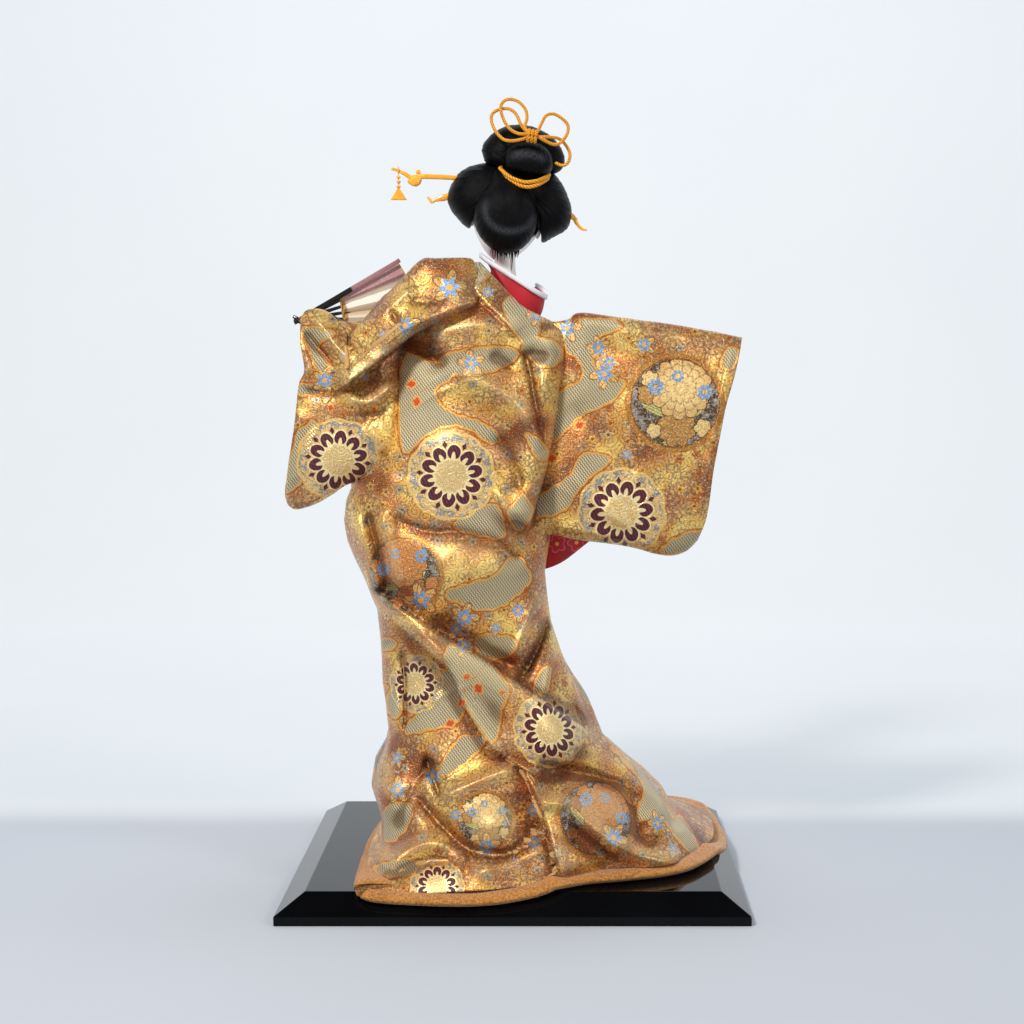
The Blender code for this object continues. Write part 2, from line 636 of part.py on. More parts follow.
# the wide red collar stands up out of the over-robe
COLLAR = [(-0.0215, 0.4520, 0.0135, 0.4060, 0.000, -0.0195, 0.0190, 0.0, 2.0, 44),
          (-0.0235, 0.4610, 0.0155, 0.4130, 0.000, -0.0206, 0.0200, 0.0, 2.0, 44),
          (-0.0262, 0.4640, 0.0205, 0.4240, 0.000, -0.0203, 0.0195, 0.0, 2.0, 44),
          (-0.0270, 0.4650, 0.0225, 0.4335, 0.000, -0.0195, 0.0190, 0.0, 2.0, 46)]


def collar_row(s, cols, half, grow=0.0, lift=0.0):
    return [ring_point(s, 90 + half + (360 - 2 * half) * j / (cols - 1), -grow) + Vector((0, 0, lift)) for j in range(cols)]


under_rows[-1] = collar_row(COLLAR[0], 27, 42)
for c in COLLAR[1:]:
    under_rows.append(collar_row(c, 27, 43))
under = sheet("inner_robe", RED, under_rows, 0.0012)

white_rows = [collar_row(COLLAR[-1], 25, 43, 0.0003, 0.0013), collar_row(COLLAR[-1], 25, 43, 0.0009, 0.0046)]
white = sheet("collar_white", WHITE, white_rows, 0.0016)

sash_rows = robe_rows([9.75, 10.4, 11.05], 33, 0.0065, lambda k: 90.5, lambda k: 449.5)
sash = sheet("obi_sash", SASH, sash_rows, 0.0024)
cord_row = robe_rows([10.4], 41, 0.0040, lambda k: 92.0, lambda k: 448.0)[0]
obi_cord = wire("obi_cord", CORD, [tuple(p) for p in cord_row], 0.0014, res=1)

# hem roll: padded tube along the hem, oval section
hem = robe_rows([0], 35, -0.0010)[0]
roll_rows = []
for j, p in enumerate(hem):
    q0, q1 = hem[max(j - 1, 0)], hem[min(j + 1, len(hem) - 1)]
    along = (q1 - q0).normalized()
    out = Vector((along.y, -along.x, 0.0)).normalized()
    if out.dot(Vector((p.x - 0.02, p.y, 0))) < 0:
        out = -out
    over = max(0.0, abs(p.x) - (BOARD_X / 2 - BOARD_CHAMFER)) + max(0.0, abs(p.y) - (BOARD_Y / 2 - BOARD_CHAMFER))
    c = Vector((p.x, p.y, BOARD_H + ROLL_H / 2 + 0.0006 - 0.50 * over)) + out * 0.0035
    end = min(1.0, 0.35 + 0.65 * min(j, len(hem) - 1 - j) / 3.0)
    row = []
    for i in range(8):
        a = 2 * math.pi * i / 8
        row.append(c + out * (ROLL_W / 2 * end * math.cos(a)) + Vector((0, 0, ROLL_H / 2 * end * math.sin(a))))
    roll_rows.append(row)
hem_roll = grid("robe_hem_roll", CREPE, roll_rows, wrap=True, caps=True)
hem_roll = cut(hem_roll, board)
robe = cut(robe, hem_roll)
under = cut(under, board)
lower = cut(lower, board)


# ---------------------------------------------------------------- sleeves
def sleeve_rows(stations, cols, inset=0.0, n=9):
    rows = []
    for t in spread(0, len(stations) - 1, n):
        i = min(int(t), len(stations) - 2)
        f = t - i
        tx, tz, bx, bz, yn, yf = [a + (b - a) * f for a, b in zip(stations[i], stations[i + 1])]
        top, bot = Vector((tx, 0, tz)), Vector((bx, 0, bz))
        mid, half = (top + bot) / 2, (top - bot) / 2
        length = half.length
        row = []
        for j in range(cols):
            a = 2 * math.pi * j / cols
            c, s = math.cos(a), math.sin(a)
            e = 2.0 / 3.6
            u = math.copysign(abs(c) ** 1.0, c)
            v = math.copysign(abs(s) ** e, s)
            p = mid + half * (u * (length - inset) / length)
            y = (yn + yf) / 2 + ((yf - yn) / 2 - inset) * v
            row.append(Vector((p.x, y, p.z)))
        rows.append(row)
    return rows


robe_solid = core("robe_volume", 0, 16, 17, lambda k: -0.0002, cols=32)
sleeve_r = sheet("robe_sleeve_right", BROCADE, sleeve_rows(SLEEVE_RIGHT, 22), CLOTH, wrap=True)
sleeve_l = sheet("robe_sleeve_left", BROCADE, sleeve_rows(SLEEVE_LEFT, 22), CLOTH, wrap=True)
sleeve_r = cut(sleeve_r, robe_solid, gap=0.0010)
sleeve_l = cut(sleeve_l, robe_solid, gap=0.0010)

# red inner sleeves: the right one hangs out behind the brocade sleeve
RED_RIGHT = [
    (0.0300, 0.3350, 0.0180, 0.2330, -0.0050, 0.0040),
    (0.0400, 0.3300, 0.0300, 0.2320, -0.0040, 0.0050),
    (0.0480, 0.3200, 0.0420, 0.2380, -0.0030, 0.0050),
    (0.0540, 0.3050, 0.0520, 0.2450, -0.0020, 0.0050),
]
red_r = sheet("inner_sleeve_right", RED, sleeve_rows(RED_RIGHT, 16, n=5), 0.0012, wrap=True)
red_r = cut(red_r, robe_solid, gap=0.0022)
red_r = cut(red_r, sleeve_r, gap=0.0006)
# ---------------------------------------------------------------- arms and hands
arm_l_pts = smooth_path([(-0.0450, -0.006, 0.4170), (-0.0750, -0.0290, 0.4080), (-0.1020, -0.0300, 0.3900),
                         (-0.1200, -0.0260, 0.3850), (-0.1350, -0.0180, 0.3900), (-0.1440, -0.0090, 0.3980)], 14)
arm_r_pts = smooth_path([(0.0080, -0.004, 0.3840), (0.0450, -0.0270, 0.3920), (0.0800, -0.0270, 0.3890),
                         (0.1150, -0.0220, 0.3860), (0.1420, -0.0190, 0.3860)], 14)
arm_l = wire("arm_left", STUFF, arm_l_pts, 0.0062, res=2, radii=[1.15 - 0.45 * i / 13 for i in range(14)])
arm_r = wire("arm_right", STUFF, arm_r_pts, 0.0062, res=2, radii=[1.15 - 0.45 * i / 13 for i in range(14)])


def finger(name, a, b, c, r):
    return wire(name, SKIN, smooth_path([a, b, c], 6), r, res=1, radii=[1.0, 1.0, 1.0, 0.95, 0.85, 0.55])


def hand(name, wrist, aim, back, size, curl, sign):
    """Palm and five fingers. aim is the fingers' direction, back the back of the hand."""
    aim = Vector(aim).normalized()
    back = Vector(back).normalized()
    side = aim.cross(back).normalized()
    w = Vector(wrist)
    turn = Matrix((side, aim, back)).transposed().to_4x4()
    shapes = [ball("palm", SKIN, w + aim * 0.0075 * size, (0.0058 * size, 0.0098 * size, 0.0030 * size), turn, 12, 8)]
    for i in range(4):
        off = (i - 1.5) * 0.0027 * size
        length = (0.0120, 0.0135, 0.0130, 0.0105)[i] * size
        a = w + aim * 0.0105 * size + side * off
        b = a + aim * length * 0.55 - back * curl * 0.35
        c = a + aim * length * (1.0 - 0.25 * min(1.0, curl / 0.006)) - back * curl
        shapes.append(finger("f", a, b, c, 0.00155 * size))
    a = w + aim * 0.0035 * size + side * sign * 0.0040 * size
    b = a + aim * 0.0050 * size + side * sign * 0.0030 * size - back * 0.0010
    c = a + aim * 0.0105 * size + side * sign * 0.0024 * size - back * 0.0024
    shapes.append(finger("t", a, b, c, 0.00175 * size))
    return join(name, SKIN, shapes)


hand_r = hand("hand_right", (0.1450, -0.0190, 0.3860), (0.86, 0.16, 0.30), (-0.2, -0.9, 0.35), 0.86, 0.0035, 1)
hand_l = hand("hand_left", (-0.1455, -0.0060, 0.3995), (-0.46, 0.42, 0.78), (-0.80, -0.50, -0.20), 0.92, 0.0060, 1)
def tube_shell(name, mat, centres, radii, thick, cols=16):
    rows = []
    for i, c in enumerate(centres):
        c = Vector(c)
        along = (Vector(centres[min(i + 1, len(centres) - 1)]) - Vector(centres[max(i - 1, 0)])).normalized()
        u = along.cross(Vector((0, 1, 0))).normalized()
        v = along.cross(u).normalized()
        rows.append([c + (u * math.cos(2 * math.pi * j / cols) + v * math.sin(2 * math.pi * j / cols)) * radii[i]
                     for j in range(cols)])
    return sheet(name, mat, rows, thick, wrap=True)


# red cuffs of the under-robe round the wrists
cuff_l = tube_shell("inner_cuff_left", RED, arm_l_pts[8:13], [0.0076, 0.0080, 0.0085, 0.0090, 0.0098], 0.0012, 14)
cuff_r = tube_shell("inner_cuff_right", RED, arm_r_pts[8:14], [0.0076, 0.0080, 0.0084, 0.0088, 0.0092, 0.0098], 0.0012, 14)
trunk = cut(trunk, arm_l)
trunk = cut(trunk, arm_r)
arm_l = cut(arm_l, hand_l)
arm_r = cut(arm_r, hand_r)

# armholes: the arms pass through both robes with room round them
hole_l = wire("armhole_left", STUFF, arm_l_pts[:11], 0.0115, res=3)
hole_r = wire("armhole_right", STUFF, arm_r_pts[:11], 0.0115, res=3)
for g in (hole_l, hole_r):
    put(g, STUFF, guides)
robe = cut(robe, hole_l, gap=0)
robe = cut(robe, hole_r, gap=0)
under = cut(under, hole_l, gap=0)
under = cut(under, hole_r, gap=0)
for g in (hole_l, hole_r):
    g.hide_render = True
    g.display_type = "WIRE"
bpy.data.objects.remove(robe_solid, do_unlink=True)

# ---------------------------------------------------------------- folding fan
def fan_point(r, a, y):
    return FAN_PIVOT + Matrix.Rotation(FAN_TURN, 3, "Z") @ Vector((r * math.cos(a), y, r * math.sin(a)))


steps = FAN_PLEATS * 2
rows = []
for r in spread(FAN_R0, FAN_R1, 4):
    row = []
    for i in range(steps + 1):
        a = FAN_FROM + (FAN_TO - FAN_FROM) * i / steps
        row.append(fan_point(r, a, (0.0009 if i % 2 else -0.0009) * r / FAN_R1))
    rows.append(row)
leaf = grid("fan_leaf", FAN_PAPER, rows)
modifier(leaf, "SOLIDIFY", thickness=0.00045, offset=0.0, use_even_offset=False)
leaf = baked(leaf)


def stick(name, a, y, r0, r1, wide0, wide1, thick):
    bm = bmesh.new()
    bmesh.ops.create_cube(bm, size=1.0)
    for v in bm.verts:
        near = v.co.x < 0
        r = r0 if near else r1
        half = (wide0 if near else wide1) / 2
        v.co = Vector((r, v.co.y * thick + y, math.copysign(half, v.co.z)))
    bmesh.ops.transform(bm, matrix=Matrix.Translation(FAN_PIVOT) @ Matrix.Rotation(FAN_TURN, 4, "Z") @ Matrix.Rotation(-a, 4, "Y"), verts=bm.verts)
    return from_bmesh(name, bm, FAN_STICK, smooth=False)


guard_u = stick("fan_guard_upper", FAN_TO + math.radians(1.2), -0.0021, -0.0050, FAN_R1 + 0.0006, 0.0042, 0.0034, 0.0012)
guard_l = stick("fan_guard_lower", FAN_FROM - math.radians(1.2), 0.0021, -0.0050, FAN_R1 + 0.0006, 0.0042, 0.0034, 0.0012)
# the seven inner sticks lie side by side: one comb-shaped outline that widens at the pivot
RIBS = 7
outline = []
for i in range(RIBS):
    a = FAN_FROM + (FAN_TO - FAN_FROM) * (i + 1) / (RIBS + 1)
    half = (FAN_TO - FAN_FROM) / (RIBS + 1) / 2
    tip = FAN_R0 - 0.0007
    outline.append((0.0125 * math.cos(a - half * 0.98), 0.0125 * math.sin(a - half * 0.98)))
    outline.append((tip * math.cos(a - 0.034), tip * math.sin(a - 0.034)))
    outline.append((tip * math.cos(a + 0.034), tip * math.sin(a + 0.034)))
outline.append((0.0125 * math.cos(a + half), 0.0125 * math.sin(a + half)))
for i in range(9):
    a = FAN_TO + math.radians(18) + (2 * math.pi - (FAN_TO - FAN_FROM) - math.radians(36)) * i / 8
    outline.append((0.0040 * math.cos(a), 0.0040 * math.sin(a)))
flat = bpy.data.curves.new("fan_ribs", "CURVE")
flat.dimensions = "2D"
flat.fill_mode = "BOTH"
flat.extrude = 0.0009
spline = flat.splines.new("POLY")
spline.points.add(len(outline) - 1)
for i, p in enumerate(outline):
    spline.points[i].co = (p[0], p[1], 0.0, 1.0)
spline.use_cyclic_u = True
ribs = bpy.data.objects.new("fan_ribs", flat)
parts.objects.link(ribs)
flat.materials.append(FAN_STICK)
ribs.matrix_world = Matrix.Translation(FAN_PIVOT) @ Matrix.Rotation(FAN_TURN, 4, "Z") @ Matrix.Rotation(math.radians(90), 4, "X")
ribs = baked(ribs)
rivet = join("fan_rivet", STEEL, [
    rod("r", STEEL, fan_point(0, 0, -0.0034), fan_point(0, 0, 0.0034), 0.0009, 0.0009, 12),
    rod("h", STEEL, fan_point(0, 0, -0.0036), fan_point(0, 0, -0.0031), 0.0017, 0.0017, 14),
    rod("g", STEEL, fan_point(0, 0, 0.0031), fan_point(0, 0, 0.0036), 0.0017, 0.0017, 14)])
ribs = cut(ribs, rivet, gap=0.0003)
guard_u = cut(guard_u, rivet, gap=0.0003)
guard_l = cut(guard_l, rivet, gap=0.0003)
guard_u = cut(guard_u, leaf, gap=0.0003)
guard_l = cut(guard_l, leaf, gap=0.0003)
for obj in (ribs, leaf, guard_u, guard_l):
    hand_l = cut(hand_l, obj, gap=0.0003)
# the left cuff opens away from the back, round the hand and the fan
mouth = ball("mouth", BROCADE, (-0.1520, 0.0080, 0.4080), (0.0390, 0.0280, 0.0310), None, 18, 12, collection=guides)
sleeve_l = cut(sleeve_l, mouth, gap=0)
bpy.data.objects.remove(mouth, do_unlink=True)
cuff_l = cut(cuff_l, hand_l, gap=0.0006)
cuff_r = cut(cuff_r, hand_r, gap=0.0006)

for g in list(guides.objects):
    g.hide_render = True
    g.display_type = "WIRE"
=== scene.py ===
import math
import random

import bmesh
import bpy
import numpy as np
from mathutils import Matrix, Vector


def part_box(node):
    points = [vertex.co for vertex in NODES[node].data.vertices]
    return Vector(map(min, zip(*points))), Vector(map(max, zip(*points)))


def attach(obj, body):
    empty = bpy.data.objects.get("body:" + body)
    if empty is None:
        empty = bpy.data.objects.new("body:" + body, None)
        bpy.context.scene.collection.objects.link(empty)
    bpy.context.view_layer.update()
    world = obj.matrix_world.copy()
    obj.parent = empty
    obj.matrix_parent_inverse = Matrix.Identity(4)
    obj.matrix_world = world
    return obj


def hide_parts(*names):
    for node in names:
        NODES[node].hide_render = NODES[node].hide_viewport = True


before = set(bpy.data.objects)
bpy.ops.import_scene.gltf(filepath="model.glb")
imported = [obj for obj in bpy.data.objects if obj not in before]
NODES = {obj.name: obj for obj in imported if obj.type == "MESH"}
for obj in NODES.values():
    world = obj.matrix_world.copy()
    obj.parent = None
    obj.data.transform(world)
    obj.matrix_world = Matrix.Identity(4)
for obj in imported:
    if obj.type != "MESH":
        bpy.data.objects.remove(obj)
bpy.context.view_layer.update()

# ---------------------------------------------------------------- camera
F, PCX, PCY = 2000.0, 561.0, 512.0
TH = math.atan(170 / 2000)
CAM = np.array((0.0334, -1.5065, 0.4014))
CT, ST = math.cos(TH), math.sin(TH)


def pix(p):
    """World points to image places."""
    q = np.asarray(p, float) - CAM
    d = q[..., 1] * CT - q[..., 2] * ST
    u = q[..., 1] * ST + q[..., 2] * CT
    return np.stack((PCX + F * q[..., 0] / d, PCY - F * u / d), -1)


def unpix(xy, y):
    """Image places at a depth y to world points."""
    xy = np.asarray(xy, float)
    y = np.broadcast_to(np.asarray(y, float), xy.shape[:-1])
    a, b = (xy[..., 0] - PCX) / F, (xy[..., 1] - PCY) / F
    dy, dz = CT - b * ST, -ST - b * CT
    t = (y - CAM[1]) / dy
    return np.stack((CAM[0] + t * a, y, CAM[2] + t * dz), -1)


def along_ray(p, shift):
    """Points moved along their lines of sight by shift metres of depth; negative comes nearer."""
    q = p - CAM
    k = 1.0 + np.asarray(shift) / q[..., 1]
    return CAM + q * k[..., None]


cam_data = bpy.data.cameras.new("camera")
cam_data.lens = F * 36.0 / 1024.0
cam_data.sensor_width = 36.0
cam_data.shift_x = -(PCX - 512.0) / 1024.0
cam_data.clip_start = 0.05
cam = bpy.data.objects.new("camera", cam_data)
bpy.context.scene.collection.objects.link(cam)
cam.location = CAM
cam.rotation_euler = (math.pi / 2 - TH, 0, 0)
bpy.context.scene.camera = cam
bpy.context.scene.view_settings.view_transform = "Standard"
bpy.context.scene.view_settings.look = "None"

# ---------------------------------------------------------------- shader building


def rgb(h):
    h = h.lstrip("#")
    c = [int(h[i:i + 2], 16) / 255 for i in (0, 2, 4)]
    return tuple(x / 12.92 if x <= 0.04045 else ((x + 0.055) / 1.055) ** 2.4 for x in c) + (1.0,)


class Val:
    """A shader value that can be reckoned with."""

    def __init__(self, sh, sock):
        self.sh, self.sock = sh, sock

    def _m(self, op, b=None, swap=False):
        return self.sh.math(op, b, self) if swap else self.sh.math(op, self, b)

    def __add__(self, b): return self._m("ADD", b)
    def __radd__(self, b): return self._m("ADD", b)
    def __sub__(self, b): return self._m("SUBTRACT", b)
    def __rsub__(self, b): return self._m("SUBTRACT", b, True)
    def __mul__(self, b): return self._m("MULTIPLY", b)
    def __rmul__(self, b): return self._m("MULTIPLY", b)
    def __truediv__(self, b): return self._m("DIVIDE", b)
    def __rtruediv__(self, b): return self._m("DIVIDE", b, True)


class Shader:
    def __init__(self, name):
        self.m = bpy.data.materials.new(name)
        self.m.use_nodes = True
        self.nt = self.m.node_tree
        self.nt.nodes.clear()
        self.out = self.nt.nodes.new("ShaderNodeOutputMaterial")
        self.bsdf = self.nt.nodes.new("ShaderNodeBsdfPrincipled")
        self.nt.links.new(self.bsdf.outputs[0], self.out.inputs[0])

    def put(self, sock, v):
        if isinstance(v, Val):
            self.nt.links.new(v.sock, sock)
        elif v is not None:
            sock.default_value = v

    def node(self, kind, inputs=None, **props):
        n = self.nt.nodes.new(kind)
        for k, v in props.items():
            setattr(n, k, v)
        for k, v in (inputs or {}).items():
            self.put(n.inputs[k], v)
        return n

    def math(self, op, a, b=None, c=None, clamp=False):
        n = self.nt.nodes.new("ShaderNodeMath")
        n.operation = op
        n.use_clamp = clamp
        for i, v in enumerate((a, b, c)):
            if v is not None:
                self.put(n.inputs[i], v)
        return Val(self, n.outputs[0])

    def f(self, op, *a, **k): return self.math(op, *a, **k)

    def xyz(self, x, y, z=0.0):
        n = self.node("ShaderNodeCombineXYZ", {0: x, 1: y, 2: z})
        return Val(self, n.outputs[0])

    def split(self, v):
        n = self.node("ShaderNodeSeparateXYZ", {0: v})
        return [Val(self, o) for o in n.outputs]

    def attr(self, name):
        n = self.node("ShaderNodeAttribute", attribute_name=name)
        return Val(self, n.outputs["Vector"])

    def attr_f(self, name):
        n = self.node("ShaderNodeAttribute", attribute_name=name)
        return Val(self, n.outputs["Fac"])

    def obj(self):
        n = self.node("ShaderNodeTexCoord")
        return Val(self, n.outputs["Object"])

    def noise(self, vec, scale, detail=2.0, rough=0.5, dist=0.0):
        n = self.node("ShaderNodeTexNoise", {"Vector": vec, "Scale": scale, "Detail": detail, "Roughness": rough, "Distortion": dist})
        return Val(self, n.outputs[0])

    def voronoi(self, vec, scale, rnd=1.0, dims="3D", feature="F1"):
        n = self.node("ShaderNodeTexVoronoi", {"Vector": vec, "Scale": scale, "Randomness": rnd}, voronoi_dimensions=dims, feature=feature)
        return n

    def step(self, v, a, b):
        """0 at a, 1 at b, smooth between."""
        n = self.node("ShaderNodeMapRange", {0: v, 1: a, 2: b, 3: 0.0, 4: 1.0}, interpolation_type="SMOOTHSTEP")
        n.clamp = True
        return Val(self, n.outputs[0])

    def lerp(self, v, a, b, c, d):
        n = self.node("ShaderNodeMapRange", {0: v, 1: a, 2: b, 3: c, 4: d})
        n.clamp = True
        return Val(self, n.outputs[0])

    def mix(self, f, a, b, mode="MIX"):
        n = self.nt.nodes.new("ShaderNodeMix")
        n.data_type = "RGBA"
        n.blend_type = mode
        self.put(n.inputs[0], f)
        for i, v in ((6, a), (7, b)):
            self.put(n.inputs[i], rgb(v) if isinstance(v, str) else v)
        return Val(self, n.outputs[2])

    def mixf(self, f, a, b):
        n = self.nt.nodes.new("ShaderNodeMix")
        self.put(n.inputs[0], f)
        self.put(n.inputs[2], a)
        self.put(n.inputs[3], b)
        return Val(self, n.outputs[0])

    def ramp(self, f, stops):
        n = self.nt.nodes.new("ShaderNodeValToRGB")
        e = n.color_ramp.elements
        while len(e) < len(stops):
            e.new(0.5)
        for el, (p, c) in zip(e, stops):
            el.position, el.color = p, rgb(c) if isinstance(c, str) else (c, c, c, 1)
        self.put(n.inputs[0], f)
        return Val(self, n.outputs[0])

    def bump(self, height, dist=0.001, strength=1.0, normal=None):
        n = self.node("ShaderNodeBump", {"Height": height, "Distance": dist, "Strength": strength})
        if normal is not None:
            self.put(n.inputs["Normal"], normal)
        return Val(self, n.outputs[0])

    def set(self, **k):
        names = dict(color="Base Color", rough="Roughness", metal="Metallic", normal="Normal", sheen="Sheen Weight",
                     sheen_rough="Sheen Roughness", coat="Coat Weight", coat_rough="Coat Roughness", ior="IOR",
                     spec="Specular IOR Level", aniso="Anisotropic", sss="Subsurface Weight", sss_scale="Subsurface Scale",
                     trans="Transmission Weight", alpha="Alpha", emit="Emission Color", emit_strength="Emission Strength")
        for a, v in k.items():
            self.put(self.bsdf.inputs[names[a]], rgb(v) if isinstance(v, str) else v)
        return self.m


# ---------------------------------------------------------------- mesh building
def link(o):
    bpy.context.scene.collection.objects.link(o)
    return o


def mesh_from(name, verts, faces, mats=(), mat_of=None, attrs=None, smooth=True):
    """verts (n,3); faces a list of index arrays (m,3) or (m,4)."""
    me = bpy.data.meshes.new(name)
    verts = np.asarray(verts, np.float32)
    faces = [np.asarray(f, np.int32) for f in faces if len(f)]
    loops = np.concatenate([f.ravel() for f in faces])
    sizes = np.concatenate([np.full(len(f), f.shape[1], np.int32) for f in faces])
    me.vertices.add(len(verts))
    me.vertices.foreach_set("co", verts.ravel())
    me.loops.add(len(loops))
    me.loops.foreach_set("vertex_index", loops)
    me.polygons.add(len(sizes))
    starts = np.concatenate(([0], np.cumsum(sizes)[:-1])).astype(np.int32)
    me.polygons.foreach_set("loop_start", starts)
    me.polygons.foreach_set("loop_total", sizes)
    if mat_of is not None:
        me.polygons.foreach_set("material_index", np.asarray(mat_of, np.int32))
    me.polygons.foreach_set("use_smooth", np.full(len(sizes), smooth))
    me.update(calc_edges=True)
    me.validate()
    for m in mats:
        me.materials.append(m)
    for k, v in (attrs or {}).items():
        v = np.asarray(v, np.float32)
        if v.ndim == 1:
            me.attributes.new(k, "FLOAT", "POINT").data.foreach_set("value", v)
        else:
            me.attributes.new(k, "FLOAT_VECTOR", "POINT").data.foreach_set("vector", v.ravel())
    return link(bpy.data.objects.new(name, me))


def grid_faces(n, m, wrap=False, base=0):
    r, c = np.meshgrid(np.arange(n - 1), np.arange(m if wrap else m - 1), indexing="ij")
    c2 = (c + 1) % m
    f = np.stack((r * m + c, r * m + c2, (r + 1) * m + c2, (r + 1) * m + c), -1).reshape(-1, 4)
    return f + base


def grid_normals(P, wrap=False):
    dr = np.gradient(P, axis=0)
    if wrap:
        dc = (np.roll(P, -1, 1) - np.roll(P, 1, 1)) / 2
    else:
        dc = np.gradient(P, axis=1)
    n = np.cross(dr, dc)
    return n / np.maximum(np.linalg.norm(n, axis=-1, keepdims=True), 1e-12)


def arc(P, axis):
    d = np.linalg.norm(np.diff(P, axis=axis), axis=-1)
    pad = [(0, 0), (0, 0)]
    pad[axis] = (1, 0)
    return np.pad(np.cumsum(d, axis=axis), pad)


def shell(name, P, attrs, thick, mats, wrap=False, flip=False, normals=None):
    """Closed thin cloth: a dense outer grid, an inner grid of half its density, and rims. mats are outer, lining."""
    n, m = P.shape[:2]
    N = grid_normals(P, wrap) if normals is None else normals
    if flip:
        N = -N
    # the sparser inner layer stays under the valleys of the outer one
    deep = np.zeros(P.shape[:2])
    for dr_, dc_ in ((1, 0), (-1, 0), (0, 1), (0, -1), (1, 1), (-1, -1), (1, -1), (-1, 1)):
        nb = np.roll(P, (dr_, dc_), (0, 1))
        d_nb = ((P - nb) * N).sum(-1)
        if dr_:
            d_nb[0 if dr_ > 0 else -1] = 0
        if dc_ and not wrap:
            d_nb[:, 0 if dc_ > 0 else -1] = 0
        deep = np.maximum(deep, d_nb)
    inner = (P - N * (thick + 0.9 * np.clip(deep, 0, .004))[..., None])[::2, ::2]
    ni, mi = inner.shape[:2]
    off = n * m
    out = grid_faces(n, m, wrap)
    inn = grid_faces(ni, mi, wrap, off)
    # the outer faces look along cross(dr, dc) when wound row then column
    out_f = out if flip else out[:, ::-1]
    inn_f = inn[:, ::-1] if flip else inn
    tris = []

    def rim(o_idx, i_idx, rev):
        k = len(i_idx) - 1
        j = np.arange(k)
        a, b, c = o_idx[2 * j], o_idx[2 * j + 1], o_idx[2 * j + 2]
        p, q = i_idx[j], i_idx[j + 1]
        t = np.concatenate((np.stack((a, b, p), -1), np.stack((b, q, p), -1), np.stack((b, c, q), -1)))
        tris.append(t[:, ::-1] if rev else t)

    cols = np.arange(m)
    icols = np.arange(mi)
    if wrap:
        cols, icols = np.append(cols, 0), np.append(icols, 0)
    rim(cols, off + icols, flip)
    rim((n - 1) * m + cols, off + (ni - 1) * mi + icols, not flip)
    if not wrap:
        rim(np.arange(n) * m, off + np.arange(ni) * mi, not flip)
        rim(np.arange(n) * m + m - 1, off + np.arange(ni) * mi + mi - 1, flip)
    tris = np.concatenate(tris)
    verts = np.concatenate((P.reshape(-1, 3), inner.reshape(-1, 3)))
    full = {}
    for k, v in attrs.items():
        v = np.asarray(v, np.float32)
        w = v[::2, ::2]
        full[k] = np.concatenate((v.reshape((n * m,) + v.shape[2:]), w.reshape((ni * mi,) + v.shape[2:])))
    mat_of = np.concatenate((np.zeros(len(out_f)), np.ones(len(inn_f)), np.zeros(len(tris))))
    return mesh_from(name, verts, [out_f, inn_f, tris], mats, mat_of, full)


def spline_rows(ctrl, ks):
    """Catmull-Rom rows through control rows (K, M, 3) at fractional places ks."""
    ctrl = np.asarray(ctrl, float)
    K = len(ctrl)
    ks = np.clip(np.asarray(ks, float), 0, K - 1)
    i = np.minimum(ks.astype(int), K - 2)
    f = (ks - i).reshape((-1,) + (1,) * (ctrl.ndim - 1))
    p0, p1, p2, p3 = ctrl[np.maximum(i - 1, 0)], ctrl[i], ctrl[i + 1], ctrl[np.minimum(i + 2, K - 1)]
    return 0.5 * (2 * p1 + (p2 - p0) * f + (2 * p0 - 5 * p1 + 4 * p2 - p3) * f ** 2 + (3 * p1 - p0 - 3 * p2 + p3) * f ** 3)


def resample(pts, n, smooth=True):
    """n points evenly along a line of points."""
    pts = np.asarray(pts, float)
    if smooth and len(pts) > 2:
        pts = spline_rows(pts, np.linspace(0, len(pts) - 1, 12 * len(pts)))
    d = np.concatenate(([0], np.cumsum(np.linalg.norm(np.diff(pts, axis=0), axis=1))))
    t = np.linspace(0, d[-1], n)
    return np.stack([np.interp(t, d, pts[:, k]) for k in range(pts.shape[1])], -1)


def vnoise(x, y, seed=0):
    """Smooth value noise in -1..1."""
    xi, yi = np.floor(x).astype(np.int64), np.floor(y).astype(np.int64)
    fx, fy = x - xi, y - yi
    fx, fy = fx * fx * (3 - 2 * fx), fy * fy * (3 - 2 * fy)

    def h(a, b):
        v = (a * 374761393 + b * 668265263 + seed * 974634777) & 0xFFFFFFFF
        v = ((v ^ (v >> 13)) * 1274126177) & 0xFFFFFFFF
        return ((v ^ (v >> 16)) & 0xFFFF) / 32767.5 - 1
    a, b, c, d = h(xi, yi), h(xi + 1, yi), h(xi, yi + 1), h(xi + 1, yi + 1)
    return (a * (1 - fx) + b * fx) * (1 - fy) + (c * (1 - fx) + d * fx) * fy


def smooth01(x):
    x = np.clip(x, 0, 1)
    return x * x * (3 - 2 * x)


# ---------------------------------------------------------------- relief strokes
def near_line(px, py, line):
    """Distance to a line in the image, side (+ below when it goes right), and place along it in 0..1 with its length."""
    best = np.full(px.shape, 1e9)
    side = np.zeros(px.shape)
    place = np.zeros(px.shape)
    total = 0.0
    segs = []
    for a, b in zip(line[:-1], line[1:]):
        l = math.hypot(b[0] - a[0], b[1] - a[1])
        segs.append((a, b, l, total))
        total += l
    for a, b, l, s0 in segs:
        dx, dy = (b[0] - a[0]) / l, (b[1] - a[1]) / l
        ox, oy = px - a[0], py - a[1]
        t = np.clip(ox * dx + oy * dy, 0, l)
        d = np.hypot(ox - t * dx, oy - t * dy)
        m = d < best
        best = np.where(m, d, best)
        side = np.where(m, np.sign(dx * oy - dy * ox), side)
        place = np.where(m, (s0 + t) / total, place)
    return best, side, place, total


